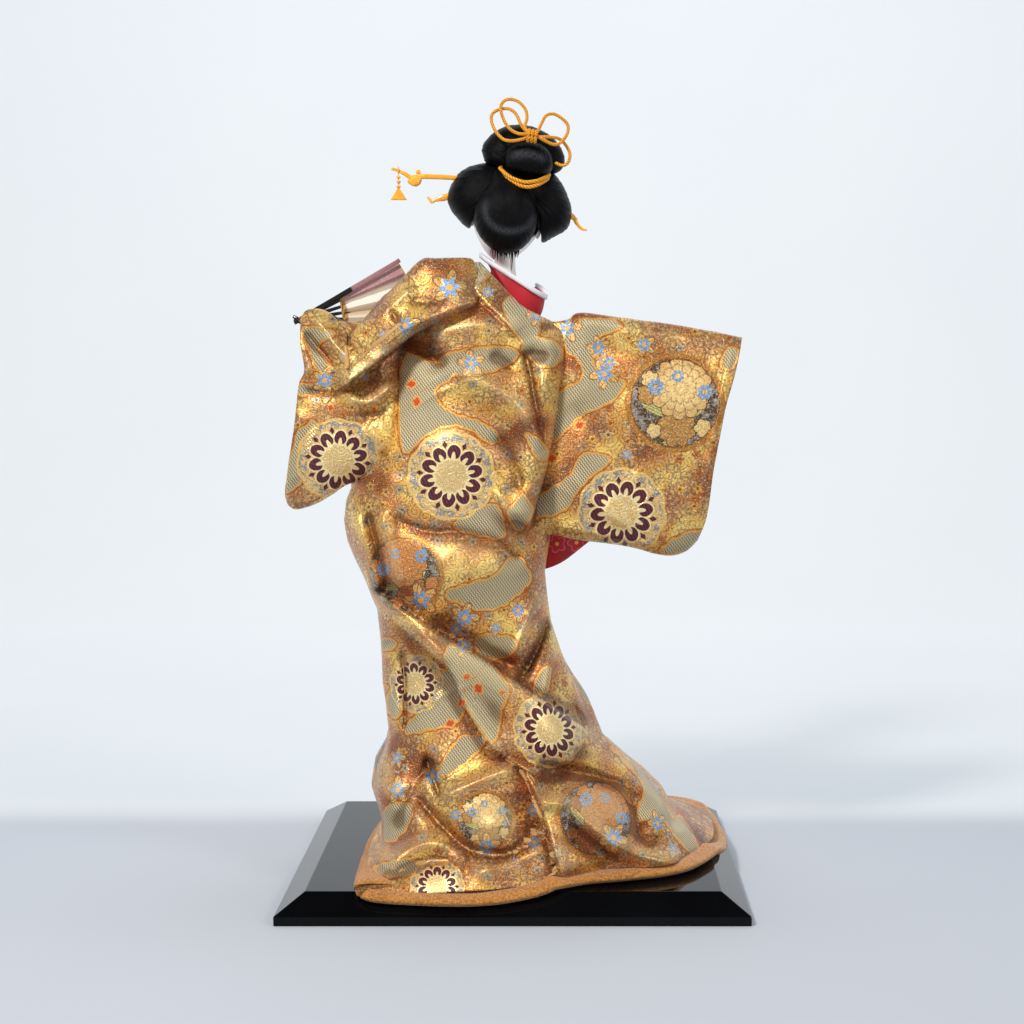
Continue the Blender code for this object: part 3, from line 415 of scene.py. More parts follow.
def relief(px, py, strokes):
    """Height in millimetres towards the eye."""
    h = np.zeros(px.shape)
    for kind, amp, w1, w2, line in strokes:
        line = resample(line, max(4, 4 * len(line))) if len(line) > 2 else np.asarray(line, float)
        if kind == "bump":
            (cx, cy), (rx, ry) = line[0], line[1]
            h += amp * np.exp(-(((px - cx) / rx) ** 2 + ((py - cy) / ry) ** 2))
            continue
        reach = 3.2 * max(w1, w2)
        lo, hi = line.min(0) - reach, line.max(0) + reach
        sel = (px > lo[0]) & (px < hi[0]) & (py > lo[1]) & (py < hi[1])
        if not sel.any():
            continue
        d, s, t, total = near_line(px[sel], py[sel], line)
        taper = min(0.35, 16.0 / total)
        fade = smooth01(t / taper) * smooth01((1 - t) / taper)
        w = np.where(s > 0, w1, w2)
        if kind == "ridge":
            v = 0.42 * np.exp(-(d / w) ** 2) + 0.58 * np.exp(-np.sqrt(d * d + 0.6) / (0.85 * w))
        elif kind == "crease":
            v = -np.exp(-d / w)
        elif kind == "fold":
            v = np.exp(-d / w)
        elif kind == "step":
            up = smooth01((d * s + 1.2) / 2.4)
            v = up * np.exp(-(d / w1) ** 2) - (1 - up) * 0.45 * np.exp(-(d / w2) ** 2)
        h[sel] += amp * fade * v
    return h


# ---------------------------------------------------------------- brocade fields
def inside(px, py, poly):
    """Signed distance to a closed polygon, positive inside."""
    d = np.full(px.shape, 1e9)
    odd = np.zeros(px.shape, bool)
    n = len(poly)
    for i in range(n):
        (x1, y1), (x2, y2) = poly[i], poly[(i + 1) % n]
        ex, ey = x2 - x1, y2 - y1
        l2 = ex * ex + ey * ey + 1e-12
        t = np.clip(((px - x1) * ex + (py - y1) * ey) / l2, 0, 1)
        d = np.minimum(d, np.hypot(px - x1 - t * ex, py - y1 - t * ey))
        cross = (y1 > py) != (y2 > py)
        with np.errstate(divide="ignore", invalid="ignore"):
            xi = (x2 - x1) * (py - y1) / (y2 - y1 + 1e-12) + x1
        odd ^= cross & (px < xi)
    return np.where(odd, d, -d)


PX = 0.00077          # metres a pixel at the robe


def rounded(poly, n=40):
    """A closed outline with softened corners."""
    p = np.asarray(poly + poly[:2], float)
    q = (p[:-1] + p[1:]) / 2
    out = resample(np.concatenate((q[:-1], q[:1])), n, smooth=True)
    return [tuple(a) for a in out[:-1]]


def paint(P, UV, near, spec, seed):
    """Vertex fields of the weave: plain ribbed ground, crests, roundels and small flowers."""
    shape = P.shape[:2]
    xy = pix(P)
    nx, ny = xy[..., 0], xy[..., 1]
    u, v = UV[..., 0] * 1000, UV[..., 1] * 1000
    flat = np.stack((nx.ravel(), ny.ravel()), -1)
    ok = near.ravel() > 0.5
    idx_ok = np.nonzero(ok)[0]

    def to_uv(p):
        d = (flat[idx_ok, 0] - p[0]) ** 2 + (flat[idx_ok, 1] - p[1]) ** 2
        # of the surfaces seen at that place the nearest one counts
        cand = idx_ok[d < max(9.0, d.min() * 1.5 + 1)]
        k = cand[np.argmin(P.reshape(-1, 3)[cand, 1])] if len(cand) else idx_ok[np.argmin(d)]
        return u.ravel()[k], v.ravel()[k]

    rib = np.full(shape, -60.0)
    for poly in spec.get("ribbed", []):
        s = inside(nx, ny, rounded(poly)) * PX * 1000
        s = np.where(near > 0.35, s, -60.0)
        rib = np.maximum(rib, s)
    far = (vnoise(u / 34, v / 30, seed) + 0.5 * vnoise(u / 15, v / 15, seed + 1) - 0.32) * 17
    wn = smooth01(near / 0.7)
    rib = rib * wn + far * (1 - wn)

    def local(centres):
        L = np.zeros(shape + (3,))
        L[..., 0] = 900.0
        best = np.full(shape, 1e9)
        for cx, cy, turn, scale, kind in centres:
            dx, dy = (u - cx) / scale, (v - cy) / scale
            d = dx * dx + dy * dy
            m = d < best
            best = np.where(m, d, best)
            c, s = math.cos(turn), math.sin(turn)
            L[m] = np.stack((dx * c + dy * s, -dx * s + dy * c, np.full(shape, kind)), -1)[m]
        return L

    rnd = random.Random(seed)
    crest = [to_uv(p[:2]) + (p[2] if len(p) > 2 else 0.0, p[3] if len(p) > 3 else 1.0, 0) for p in spec.get("crests", [])]
    rounds = [to_uv(p[:2]) + (p[2], p[3], p[4]) for p in spec.get("roundels", [])]
    small = [to_uv(p[:2]) + (rnd.uniform(0, 6), p[3] if len(p) > 3 else 1.0, p[2]) for p in spec.get("flowers", [])]
    # the hidden side carries the same kinds of figures, scattered at random with room between them
    lo_u, hi_u, lo_v, hi_v = u.min(), u.max(), v.min(), v.max()
    taken = [(c[0], c[1], 55) for c in crest] + [(c[0], c[1], 60) for c in rounds]
    seen_u, seen_v = u[near > 0.4][::5], v[near > 0.4][::5]
    for _ in range(900):
        a, b = rnd.uniform(lo_u, hi_u), rnd.uniform(lo_v, hi_v)
        k = int(np.argmin((u.ravel() - a) ** 2 + (v.ravel() - b) ** 2))
        if near.ravel()[k] > 0.15 or ((seen_u - a) ** 2 + (seen_v - b) ** 2).min() < 40 ** 2:
            continue
        if min([math.hypot(a - t[0], b - t[1]) - t[2] for t in taken] + [99]) > 18:
            if rnd.random() < 0.5:
                crest.append((a, b, rnd.uniform(0, 6), 1.0, 0)); taken.append((a, b, 40))
            else:
                rounds.append((a, b, rnd.uniform(-0.6, 0.6), 1.0, rnd.choice((0, 1)))); taken.append((a, b, 45))
    marks = [(s[0], s[1], 6) for s in small]
    for _ in range(500):
        a, b = rnd.uniform(lo_u, hi_u), rnd.uniform(lo_v, hi_v)
        k = int(np.argmin((u.ravel() - a) ** 2 + (v.ravel() - b) ** 2))
        if near.ravel()[k] > 0.3:
            continue
        if min([math.hypot(a - t[0], b - t[1]) - t[2] for t in marks + taken] + [99]) > 12:
            small.append((a, b, rnd.uniform(0, 6), rnd.uniform(0.8, 1.1), rnd.choice((0, 0, 1)))); marks.append((a, b, 6))
    return {"fab": np.concatenate((UV, np.full(shape + (1,), seed * 0.37)), -1), "rib": rib, "crest": local(crest),
            "roundel": local(rounds), "flower": local(small)}


# ---------------------------------------------------------------- brocade material
def brocade():
    s = Shader("gold_brocade")
    u, v, w = s.split(s.attr("fab"))
    um, vm = u * 1000.0, v * 1000.0
    vec = s.xyz(um, vm, w)
    wob = s.noise(vec, 0.16, 2.0)
    wob2 = s.noise(s.xyz(vm, um, w + 7.0), 0.16, 2.0)
    dx, dy = (wob - 0.5) * 2.4, (wob2 - 0.5) * 2.4
    ox_, oy_, oz_ = s.split(s.obj())
    big = s.noise(vec, 0.028, 1.0) + s.lerp(oz_, 0.06, 0.24, -0.055, 0.03)
    fine = s.noise(vec, 0.9, 2.0, 0.6)
    speck = s.noise(s.xyz(um, vm * 0.6, w + 3.0), 0.55, 1.0)

    # ribbed ground
    along = um * 0.80 + vm * 0.60
    rib_w = s.f("SINE", along * (2 * math.pi / 2.0) + s.f("SINE", (vm * 0.8 - um * 0.6) * (2 * math.pi / 3.1)) * 0.75)
    rib_c = s.mix(s.step(rib_w, -0.75, 0.8), "#7C6C48", "#CDBF9C")
    rib_c = s.mix(s.lerp(big, 0.3, 0.7, 0.0, 0.4), rib_c, "#A89A78")

    # gold fields: three tints with scrolls, petals and specks
    gold = s.ramp(big, [(0.35, "#A04A16"), (0.42, "#C8742E"), (0.48, "#DE9A5C"), (0.54, "#E8A84C"), (0.63, "#FFD470")])
    vo = s.voronoi(s.xyz(um + dx * 1.5, vm + dy * 1.5, 0.0), 0.105, 0.75, "2D")
    px_, py_, _ = s.split(Val(s, vo.outputs["Position"]))
    lx, ly = (um + dx * 1.5) - px_, (vm + dy * 1.5) - py_
    r = s.f("SQRT", lx * lx + ly * ly)
    th = s.f("ARCTAN2", ly, lx)
    cr_, cg_, _ = s.split(Val(s, vo.outputs["Color"]))
    sgn = s.lerp(s.f("GREATER_THAN", cr_, 0.5), 0.0, 1.0, -1.0, 1.0)
    turn = s.f("FRACT", r / 2.7 + th * sgn * (1 / (2 * math.pi)) + cg_)
    line = s.step(s.f("ABSOLUTE", turn - 0.5), 0.20, 0.10)
    gold = s.mix(line * s.lerp(big, 0.4, 0.62, 0.8, 0.45), gold, s.mix(s.step(wob, .45, .55), "#9A4E20", "#7C6A5C"))
    cells = Val(s, s.voronoi(s.xyz(um + dx * 2.5, vm + dy * 2.5 + 11.0, 0.0), 0.21, 0.9, "2D", "DISTANCE_TO_EDGE").outputs["Distance"])
    leafy = s.step(s.noise(s.xyz(um, vm, w + 21.0), 0.045, 1.0), .47, .53)
    gold = s.mix(leafy * s.step(cells, .20, .55) * .55, gold, "#F6DDA0")
    gold = s.mix(leafy * s.step(cells, .17, .07) * .75, gold, "#84705E")
    # little leafy flowers
    vf = s.voronoi(s.xyz(um + 3.0, vm - 5.0, 0.0), 0.075, 0.55, "2D")
    fx, fy, _ = s.split(Val(s, vf.outputs["Position"]))
    ax, ay = (um + 3.0) - fx, (vm - 5.0) - fy
    fr = s.f("SQRT", ax * ax + ay * ay)
    fa = s.f("ARCTAN2", ay, ax)
    c1, c2, c3 = s.split(Val(s, vf.outputs["Color"]))
    lobes = s.f("SINE", fa * 5.0 + c2 * 6.0)
    edge = fr - (3.3 + lobes * 0.9)
    petal = s.step(edge, 0.3, -0.3) * s.f("GREATER_THAN", c1, 0.42)
    pline = s.step(s.f("ABSOLUTE", edge), 0.55, 0.2) * s.f("GREATER_THAN", c1, 0.42)
    pc = s.ramp(c3, [(0.25, "#B0A490"), (0.45, "#F2C468"), (0.62, "#C8642A"), (0.8, "#EDB04E")])
    pc = s.mix(s.step(fr, 1.5, 1.0), pc, "#8C5A2A")
    gold = s.mix(petal, gold, pc)
    gold = s.mix(pline * 0.5, gold, "#7A4A26")
    gold = s.mix(s.step(speck, 0.60, 0.66) * 0.55, gold, "#6E5040")
    # light and dark stipple: the gold threads' own mottle, with painted glints and painted shade of the threads
    gold = s.mix(s.step(fine, 0.52, 0.66) * 0.5, gold, "#FFE8A4")
    gold = s.mix(s.step(fine, 0.46, 0.34) * 0.32, gold, "#95551E")
    weft = s.f("SINE", vm * (2 * math.pi / 0.9))
    gold = s.mix(s.step(weft, 0.2, 0.9) * 0.16, gold, "#6B3F18")

    rib = s.attr_f("rib") + (wob - 0.5) * 3.2 + s.f("SINE", um * 0.55) * 0.35
    ribm = s.step(rib, -0.25, 0.25)
    col = s.mix(ribm, gold, rib_c)
    lines = s.step(s.f("ABSOLUTE", rib + 0.7), 0.85, 0.45)
    col = s.mix(lines, col, "#E3A850")
    lines2 = s.step(s.f("ABSOLUTE", rib + 2.2), 0.7, 0.3)
    col = s.mix(lines2 * 0.85, col, "#B5602B")
    metal = s.mixf(ribm, 0.62, 0.12)
    rough = s.mixf(ribm, 0.40, 0.50)

    # crest medallions
    x, y, _ = s.split(s.attr("crest"))
    x, y = x + dx * 0.5, y + dy * 0.5
    r = s.f("SQRT", x * x + y * y)
    th = s.f("ARCTAN2", y, x)
    med_r = s.f("ABSOLUTE", s.f("SINE", th * 5.5)) * 1.8 + 31.5
    med = s.step(r - med_r, 0.3, -0.3)
    cloud = s.noise(s.xyz(um + 50.0, vm, w), 0.17, 2.0, 0.6)
    mcol = s.mix(s.step(cloud, 0.47, 0.53), "#E9C07C", "#96908C")
    mcol = s.mix(s.step(r, 27.5, 25.5), mcol, "#E9BE74")
    mcol = s.mix(petal * 0.8, mcol, "#F0CC88")
    mcol = s.mix(pline * 0.8, mcol, "#8A6A48")
    mcol = s.mix(s.step(speck, 0.62, 0.68) * s.step(r, 14.5, 16.0) * 0.6, mcol, "#6E5A4A")
    # light and dark stipple: the threads' own mottle, with painted glints and painted shade, also in the gold centre
    mcol = s.mix(s.step(fine, 0.50, 0.64) * 0.6, mcol, "#FFF0BC")
    mcol = s.mix(s.step(fine, 0.45, 0.34) * 0.45, mcol, "#A87840")
    mcol = s.mix(s.step(r, 14.8, 12.4) * .85, mcol, s.mix(s.step(fine, .42, .6), "#EBC06A", "#FFF2C4"))
    rays = s.f("SINE", th * 46.0 + (fine - 0.5) * 6.0)
    mcol = s.mix(s.step(r, 14.5, 13.0) * s.step(rays, 0.1, 0.9) * 0.5, mcol, "#C98B3C")
    sec = s.f("FRACT", th * (10 / (2 * math.pi)) + 0.5) - 0.5
    qx, qy = sec * (2 * math.pi / 10) * r, r - 18.6
    halo = (qx / 6.6) * (qx / 6.6) + (qy / 6.8) * (qy / 6.8)
    mcol = s.mix(s.step(halo, 1.1, 0.9), mcol, "#FFE8AC")
    pet = (qx / 5.1) * (qx / 5.1) + (qy / 5.6) * (qy / 5.6)
    notch = (qx / 1.7) * (qx / 1.7) + ((qy + 4.6) / 4.6) * ((qy + 4.6) / 4.6)
    pm = s.step(pet, 1.06, 0.94) * s.step(notch, 0.9, 1.1)
    sec2 = s.f("FRACT", th * (10 / (2 * math.pi))) - 0.5
    bud = s.f("ABSOLUTE", sec2 * (2 * math.pi / 10) * r) / 2.1 + s.f("ABSOLUTE", r - 24.6) / 3.1
    pm = s.f("MAXIMUM", pm, s.step(bud, 1.05, 0.9))
    mcol = s.mix(pm, mcol, s.mix(s.step(s.f("FRACT", (um + vm * .4) / 2.6), .72, .86) * .6, "#4A0C1E", "#7C4450"))
    col = s.mix(med, col, mcol)
    rimline = s.step(s.f("ABSOLUTE", r - med_r - 0.6), 1.25, 0.7)
    col = s.mix(rimline, col, "#EFC474")
    medall = s.step(r - med_r, 2.0, 1.4)
    metal = s.mixf(medall, metal, 0.62)
    metal = s.mixf(pm * med, metal, 0.0)
    rough = s.mixf(medall, rough, 0.40)

    # flower roundels
    x, y, kind = s.split(s.attr("roundel"))
    x, y = x + dx * 0.7, y + dy * 0.7
    r = s.f("SQRT", x * x + y * y)
    disc = s.step(r, 38.2, 37.6)
    inn = s.step(r, 33.2, 32.5)
    rcol = s.mix(inn, "#BD7E34", s.mix(s.step(cloud, .5, .56), s.mix(s.step(s.f("SINE", (um + vm) * 4.2), 0.0, 0.9), "#3E2C24", "#5C4638"), "#8A827E"))
    rcol = s.mix(s.step(s.f("ABSOLUTE", r - 33.4), 0.8, 0.4), rcol, "#8A5526")
    hue = s.f("MULTIPLY", kind, 1.0)

    def blossom(cx, cy, rad, n, depth, turn=0.0):
        ax_, ay_ = x - cx, y - cy
        rr = s.f("SQRT", ax_ * ax_ + ay_ * ay_)
        aa = s.f("ARCTAN2", ay_, ax_)
        lob = s.f("ABSOLUTE", s.f("SINE", aa * (n / 2.0) + turn))
        e = rr - (rad * (1 - depth) + lob * (rad * depth))
        return e, rr, lob

    def leaf(cx, cy, a, lx_, ly_):
        ax_, ay_ = x - cx, y - cy
        c_, s_ = math.cos(a), math.sin(a)
        p_, q_ = ax_ * c_ + ay_ * s_, ay_ * c_ - ax_ * s_
        return (p_ / lx_) * (p_ / lx_) + (q_ / ly_) * (q_ / ly_), q_

    warm = s.mix(hue, "#F2CE88", "#D08240")
    dark = s.mix(hue, "#BE8840", "#A5501E")
    for cx, cy, a, lx_, ly_ in ((-15.0, -3.0, -0.5, 11.0, 4.4), (15.0, -6.0, 0.7, 12.0, 4.4), (-3.0, -29.0, 0.1, 8.0, 3.0)):
        e, q_ = leaf(cx, cy, a, lx_, ly_)
        lc = s.mix(s.step(s.f("SINE", q_ * 3.2), -0.1, 0.6), "#8E8F43", "#D8CB86")
        rcol = s.mix(s.step(e, 1.06, 0.94) * inn, rcol, lc)
    for cx, cy, rad, n, depth, base in ((-20.0, 8.0, 8.5, 6, 0.25, "b"), (0.0, -19.0, 15.0, 8, 0.22, "b"), (5.0, 11.0, 24.0, 13, 0.13, "a"),
                                        (-17.0, -20.0, 6.0, 5, 0.2, "a"), (20.0, -20.0, 7.0, 5, 0.2, "a"), (-18.0, 19.0, 7.0, 6, 0.25, "a")):
        e, rr, lob = blossom(cx, cy, rad, n, depth)
        bc = warm if base == "a" else dark
        ragged = rr + (fine - .5) * 2.4
        if rad > 10:
            bc = s.mix(s.step(rr, rad * .45, rad) * .55, bc, "#C88438")
            bc = s.mix(s.step(lob, .30, .12) * s.step(rr, rad * .35, rad * .5) * .7, bc, "#96785A")
        inside_l = s.step(s.f("ABSOLUTE", s.f("FRACT", ragged / (rad * .27) - lob * 0.35) - 0.5), 0.15, 0.04)
        bc = s.mix(inside_l * 0.65, bc, "#8E6A44")
        rcol = s.mix(s.step(e, 0.25, -0.25) * inn, rcol, bc)
        rcol = s.mix(s.step(s.f("ABSOLUTE", e), 0.6, 0.25) * inn, rcol, "#5A3A1E")
    for cx, cy, rad in ((-14.0, 13.0, 6.6), (23.0, 7.0, 6.2), (3.0, 20.0, 5.0)):
        e, rr, lob = blossom(cx, cy, rad, 8, 0.32)
        rcol = s.mix(s.step(e, 0.2, -0.2) * s.step(rr, 1.8, 2.2) * inn, rcol, "#7A9EC4")
        rcol = s.mix(s.step(lob, 0.16, 0.05) * s.step(e, 0.2, -0.2) * s.step(rr, 1.0, 2.0) * inn, rcol, "#4A3A34")
    # light and dark stipple: the threads' own mottle, with painted glints and painted shade
    rcol = s.mix(s.step(fine, 0.52, 0.66) * 0.42, rcol, "#FFE9AE")
    rcol = s.mix(s.step(fine, 0.46, 0.34) * 0.40, rcol, "#5E3A18")
    on = disc * (1.0 - medall)
    col = s.mix(on, col, rcol)
    metal = s.mixf(on * inn, metal, 0.35)

    # small scattered flowers: blue, and vermilion diamonds
    x, y, kind = s.split(s.attr("flower"))
    r = s.f("SQRT", x * x + y * y)
    th = s.f("ARCTAN2", y, x)
    lob = s.f("ABSOLUTE", s.f("SINE", th * 3.0))
    e = r - (2.0 + lob * 3.4)
    blue = s.step(e, 0.3, -0.3) * s.f("LESS_THAN", kind, 0.5)
    # gold leaves lie round each blue flower
    leaf3 = r - (2.5 + s.f("ABSOLUTE", s.f("SINE", th * 2.5 + 0.8)) * 7.0 + (fine - .5) * 2.0)
    lmask = s.step(leaf3, .3, -.3) * s.f("LESS_THAN", kind, 0.5)
    col = s.mix(lmask, col, s.mix(s.step(s.f("FRACT", th * 2.2 + r * .16), .80, .92), s.mix(s.step(fine, .45, .6), "#D29A50", "#F6D590"), "#8A6038"))
    col = s.mix(s.step(s.f("ABSOLUTE", leaf3), .7, .3) * s.f("LESS_THAN", kind, 0.5) * .8, col, "#8A5A30")
    col = s.mix(blue, col, s.mix(s.step(fine, .42, .60), "#5F86B4", "#93B4D8"))
    col = s.mix(s.step(r, 1.9, 1.3) * s.f("LESS_THAN", kind, 0.5), col, "#E6A84A")
    dia = s.f("ABSOLUTE", x) / 4.4 + s.f("ABSOLUTE", y) / 3.2 + (fine - .5) * 1.1 + (1.0 - lob) * .25
    red = s.step(dia, 1.06, 0.94) * s.f("GREATER_THAN", kind, 0.5)
    col = s.mix(s.step(dia, 1.5, 1.4) * s.f("GREATER_THAN", kind, 0.5), col, "#D9A04C")
    col = s.mix(red, col, "#C8481E")
    metal = s.mixf(s.f("MAXIMUM", blue, red), metal, 0.1)

    # painted shade in the hollows of the folds and a painted highlight on their backs
    hol = s.attr_f("painted_fold_shading")
    col = s.mix(s.step(hol, -0.25, -1.0) * 0.48, col, "#9A6A38", "MULTIPLY")
    col = s.mix(s.step(hol, -0.75, -1.0) * 0.30, col, "#7A4A22", "MULTIPLY")
    col = s.mix(s.step(hol, 0.30, 1.0) * 0.16 * (1.0 - pm * med), col, "#FFE9A8")

    # threads stand in relief
    height = rib_w * ribm * 0.5 + (1.0 - ribm) * (line * -0.6 + fine * 0.9) + pm * med * 0.8
    s.set(color=col, metal=metal, rough=rough, normal=s.bump(height, 0.00040, 0.7), sheen=0.12, sheen_rough=0.4, spec=0.4)
    return s.m


def lining():
    s = Shader("robe_lining")
    o = s.obj()
    weave = s.noise(o, 900.0, 2.0)
    soft = s.noise(o, 22.0, 2.0)
    c = s.mix(s.lerp(soft, 0.3, 0.7, 0, 1), "#B4884C", "#D6A968")
    c = s.mix(s.step(weave, 0.45, 0.6) * 0.3, c, "#8A6232")
    return s.set(color=c, rough=0.75, sheen=0.3, normal=s.bump(weave, 0.0003, 0.5))


def silk(name, dark, mid, light, rough=0.55, figured=False):
    s = Shader(name)
    o = s.obj()
    soft = s.noise(o, 28.0, 3.0)
    crepe = s.noise(o, 1300.0, 2.0, 0.6)
    x, y, z = s.split(o)
    thread = s.f("SINE", (x * 0.7 + z + y * 0.4) * 7000.0)
    c = s.mix(s.lerp(soft, 0.3, 0.7, 0, 1), dark, mid)
    c = s.mix(s.step(crepe, 0.55, 0.75) * 0.5, c, light)
    c = s.mix(s.step(thread, 0.4, 1.0) * 0.18, c, dark)
    if figured:
        vo = s.voronoi(s.xyz(x * 1000.0 + 4.0, z * 1000.0, 0.0), 0.042, 0.55, "2D")
        px_, pz_, _ = s.split(Val(s, vo.outputs["Position"]))
        ax, az = x * 1000.0 + 4.0 - px_, z * 1000.0 - pz_
        r, th = s.f("SQRT", ax * ax + az * az), s.f("ARCTAN2", az, ax)
        lob = s.f("ABSOLUTE", s.f("SINE", th * 2.5))
        e = r - (4.2 + lob * 2.6)
        on = s.step(z, 0.325, 0.28)
        c = s.mix(s.step(e, .4, -.4) * on * .55, c, light)
        c = s.mix(s.step(s.f("ABSOLUTE", e), .8, .3) * on * .6, c, "#F0707C")
        c = s.mix(s.step(lob, .14, .05) * s.step(e, .2, -.2) * on * .6, c, dark)
        c = s.mix(s.step(r, 1.7, 1.2) * on, c, "#E8B050")
    return s.set(color=c, rough=rough, sheen=0.06 if figured else 0.25, sheen_rough=0.35, normal=s.bump(crepe * 0.7 + thread * 0.2, 0.00025, 0.5))


BROCADE = brocade()
LINING = lining()
RED = silk("red_silk", "#960010", "#C4041C", "#D0122A", figured=True)
WHITE = silk("white_silk", "#DAD6DE", "#F3F1F6", "#FFFFFF", 0.6)


def crepe():
    s = Shader("tan_crepe")
    o = s.obj()
    soft = s.noise(o, 30.0, 2.0)
    grain = s.noise(o, 620.0, 3.0, 0.65)
    pits = Val(s, s.voronoi(o, 900.0).outputs["Distance"])
    c = s.mix(s.lerp(soft, 0.3, 0.7, 0, 1), "#A8681E", "#BC7C2E")
    c = s.mix(s.step(grain, 0.50, 0.66), c, "#D19848")
    c = s.mix(s.step(grain, 0.46, 0.36) * 0.8, c, "#74420E")
    return s.set(color=c, rough=0.82, sheen=0.35, sheen_rough=0.5, normal=s.bump(grain * 0.8 - pits * 0.5, 0.0010, 0.8))


CREPE = crepe()

# ---------------------------------------------------------------- robe body
# left x, left z, right x, right z, y of sides, y of back, y of front, back skew, squareness, half opening
ROBE = [
    (-.104, .029, .148, .029, -.010, -.143, .122, .12, 2.8, 30), (-.106, .045, .120, .045, -.010, -.128, .105, .10, 2.6, 29),
    (-.108, .068, .101, .068, -.005, -.112, .088, .08, 2.5, 28), (-.103, .095, .074, .095, 0, -.098, .076, .05, 2.4, 27),
    (-.103, .130, .052, .130, 0, -.086, .066, .03, 2.3, 26), (-.106, .168, .035, .168, 0, -.076, .060, 0, 2.2, 25),
    (-.111, .206, .0265, .206, 0, -.070, .057, 0, 2.2, 25), (-.121, .237, .0245, .237, 0, -.068, .056, 0, 2.2, 25),
    (-.129, .267, .0265, .267, 0, -.066, .055, 0, 2.2, 26), (-.124, .295, .030, .295, 0, -.064, .053, 0, 2.2, 27),
    (-.112, .330, .034, .327, 0, -.061, .049, 0, 2.2, 28), (-.099, .370, .038, .362, 0, -.058, .044, 0, 2.2, 29),
    (-.090, .405, .041, .390, 0, -.054, .040, 0, 2.2, 31), (-.080, .434, .0405, .406, 0, -.047, .036, 0, 2.1, 33),
    (-.062, .453, .035, .4125, 0, -.038, .031, 0, 2.0, 36), (-.042, .460, .026, .4135, 0, -.030, .027, 0, 2.0, 40),
    (-.027, .461, .019, .4125, 0, -.025, .024, 0, 2.0, 44)]

# the hem's line on the board: angle, x, y, z
HEM = [(110, -.045, .113, .026), (130, -.075, .100, .026), (150, -.098, .072, .026), (180, -.107, -.010, .026), (205, -.107, -.100, .024),
       (220, -.1055, -.137, .0205), (227, -.101, -.1450, .0195), (240, -.078, -.1462, .0190), (255, -.045, -.1458, .0208),
       (270, -.010, -.1430, .0225), (285, .022, -.1360, .0240), (298, .045, -.1220, .0262), (312, .083, -.1095, .0270),
       (325, .113, -.0940, .0270), (335, .129, -.0720, .0270), (347, .143, -.0360, .0270), (358, .1505, .000, .0270),
       (375, .151, .055, .0270), (395, .138, .103, .0265), (410, .112, .119, .0265), (430, .080, .116, .0265)]

OUT_LEFT = [(470, 350), (487, 352), (500, 347), (520, 346), (540, 350), (560, 357), (580, 365), (600, 372), (610, 376), (640, 378), (680, 379),
            (700, 382), (730, 385), (745, 383), (765, 375), (790, 373), (820, 381), (845, 382), (860, 372), (870, 366), (893, 364)]
OUT_RIGHT = [(532, 550), (540, 550), (570, 546), (600, 550), (620, 553), (650, 563), (680, 575), (700, 585), (720, 593), (735, 600),
             (745, 612), (760, 632), (780, 650), (800, 665), (820, 675), (840, 688), (850, 700)]


def ring_pts(s, deg, inset=0.0):
    xl, zl, xr, zr, yc, yn, yf, skew, power = s[:9]
    a = (xr - xl) / 2 - inset
    c, d = np.cos(np.radians(deg)), np.sin(np.radians(deg))
    e = 2.0 / power
    u = np.sign(c) * np.abs(c) ** e
    v = np.sign(d) * np.abs(d) ** e
    b = np.where(v < 0, yc - yn - inset, yf - yc - inset)
    y = yc + b * v * np.where(v < 0, 1.0 - skew * c, 1.0)
    t = (u + 1) / 2
    return np.stack(((xl + xr) / 2 + a * u, y, zl + (zr - zl) * t), -1)


def fill(keys, deg):
    keys = np.asarray(keys, float)
    sm = spline_rows(keys, np.linspace(0, len(keys) - 1, 8 * len(keys)))
    return np.stack([np.interp(deg, sm[:, 0], sm[:, k]) for k in (1, 2, 3)], -1)


def body_grid(ks):
    # columns are closer together on the back
    m = COLS
    f = np.linspace(0, 1, m)
    g = np.interp(f, [0, .15, .85, 1], [0, .245, .775, 1])
    ctrl = []
    for i, s in enumerate(ROBE):
        half = s[9]
        deg = (90 + half) + (360 - 2 * half) * g
        if i == 0:
            ctrl.append(fill(HEM, deg))
        else:
            ctrl.append(ring_pts(s, deg))
    ctrl = np.array(ctrl)
    return spline_rows(ctrl, ks)


ROWS, COLS = 261, 257
z_mid = np.array([(s[1] + s[3]) / 2 for s in ROBE])
ks = np.interp(np.linspace(0, 1, ROWS), np.concatenate(([0], np.cumsum(np.hypot(np.diff(z_mid), np.diff([s[5] for s in ROBE]))) + 0)) /
               np.sum(np.hypot(np.diff(z_mid), np.diff([s[5] for s in ROBE]))), np.arange(17))
body = body_grid(ks)
# the silhouettes as the eye sees them
for _ in range(3):
    q = pix(body)
    il, ir = q[:, :, 0].argmin(1), q[:, :, 0].argmax(1)
    rows_i = np.arange(ROWS)
    pl, pr = q[rows_i, il], q[rows_i, ir]
    tl = np.interp(pl[:, 1], [a for a, b in OUT_LEFT], [b for a, b in OUT_LEFT])
    tr = np.interp(pr[:, 1], [a for a, b in OUT_RIGHT], [b for a, b in OUT_RIGHT])
    wl = smooth01((pl[:, 1] - 470) / 15) * smooth01((896 - pl[:, 1]) / 14)
    wr = smooth01((pr[:, 1] - 533) / 12) * smooth01((body[rows_i, ir, 2] - .040) / .016)
    dl = (tl - pl[:, 0]) * PX * wl
    dr = (tr - pr[:, 0]) * PX * wr
    x0, x1 = body[rows_i, il, 0], body[rows_i, ir, 0]
    t = np.clip((body[..., 0] - x0[:, None]) / (x1 - x0)[:, None], 0, 1)
    body[..., 0] += dl[:, None] * (1 - t) + dr[:, None] * t

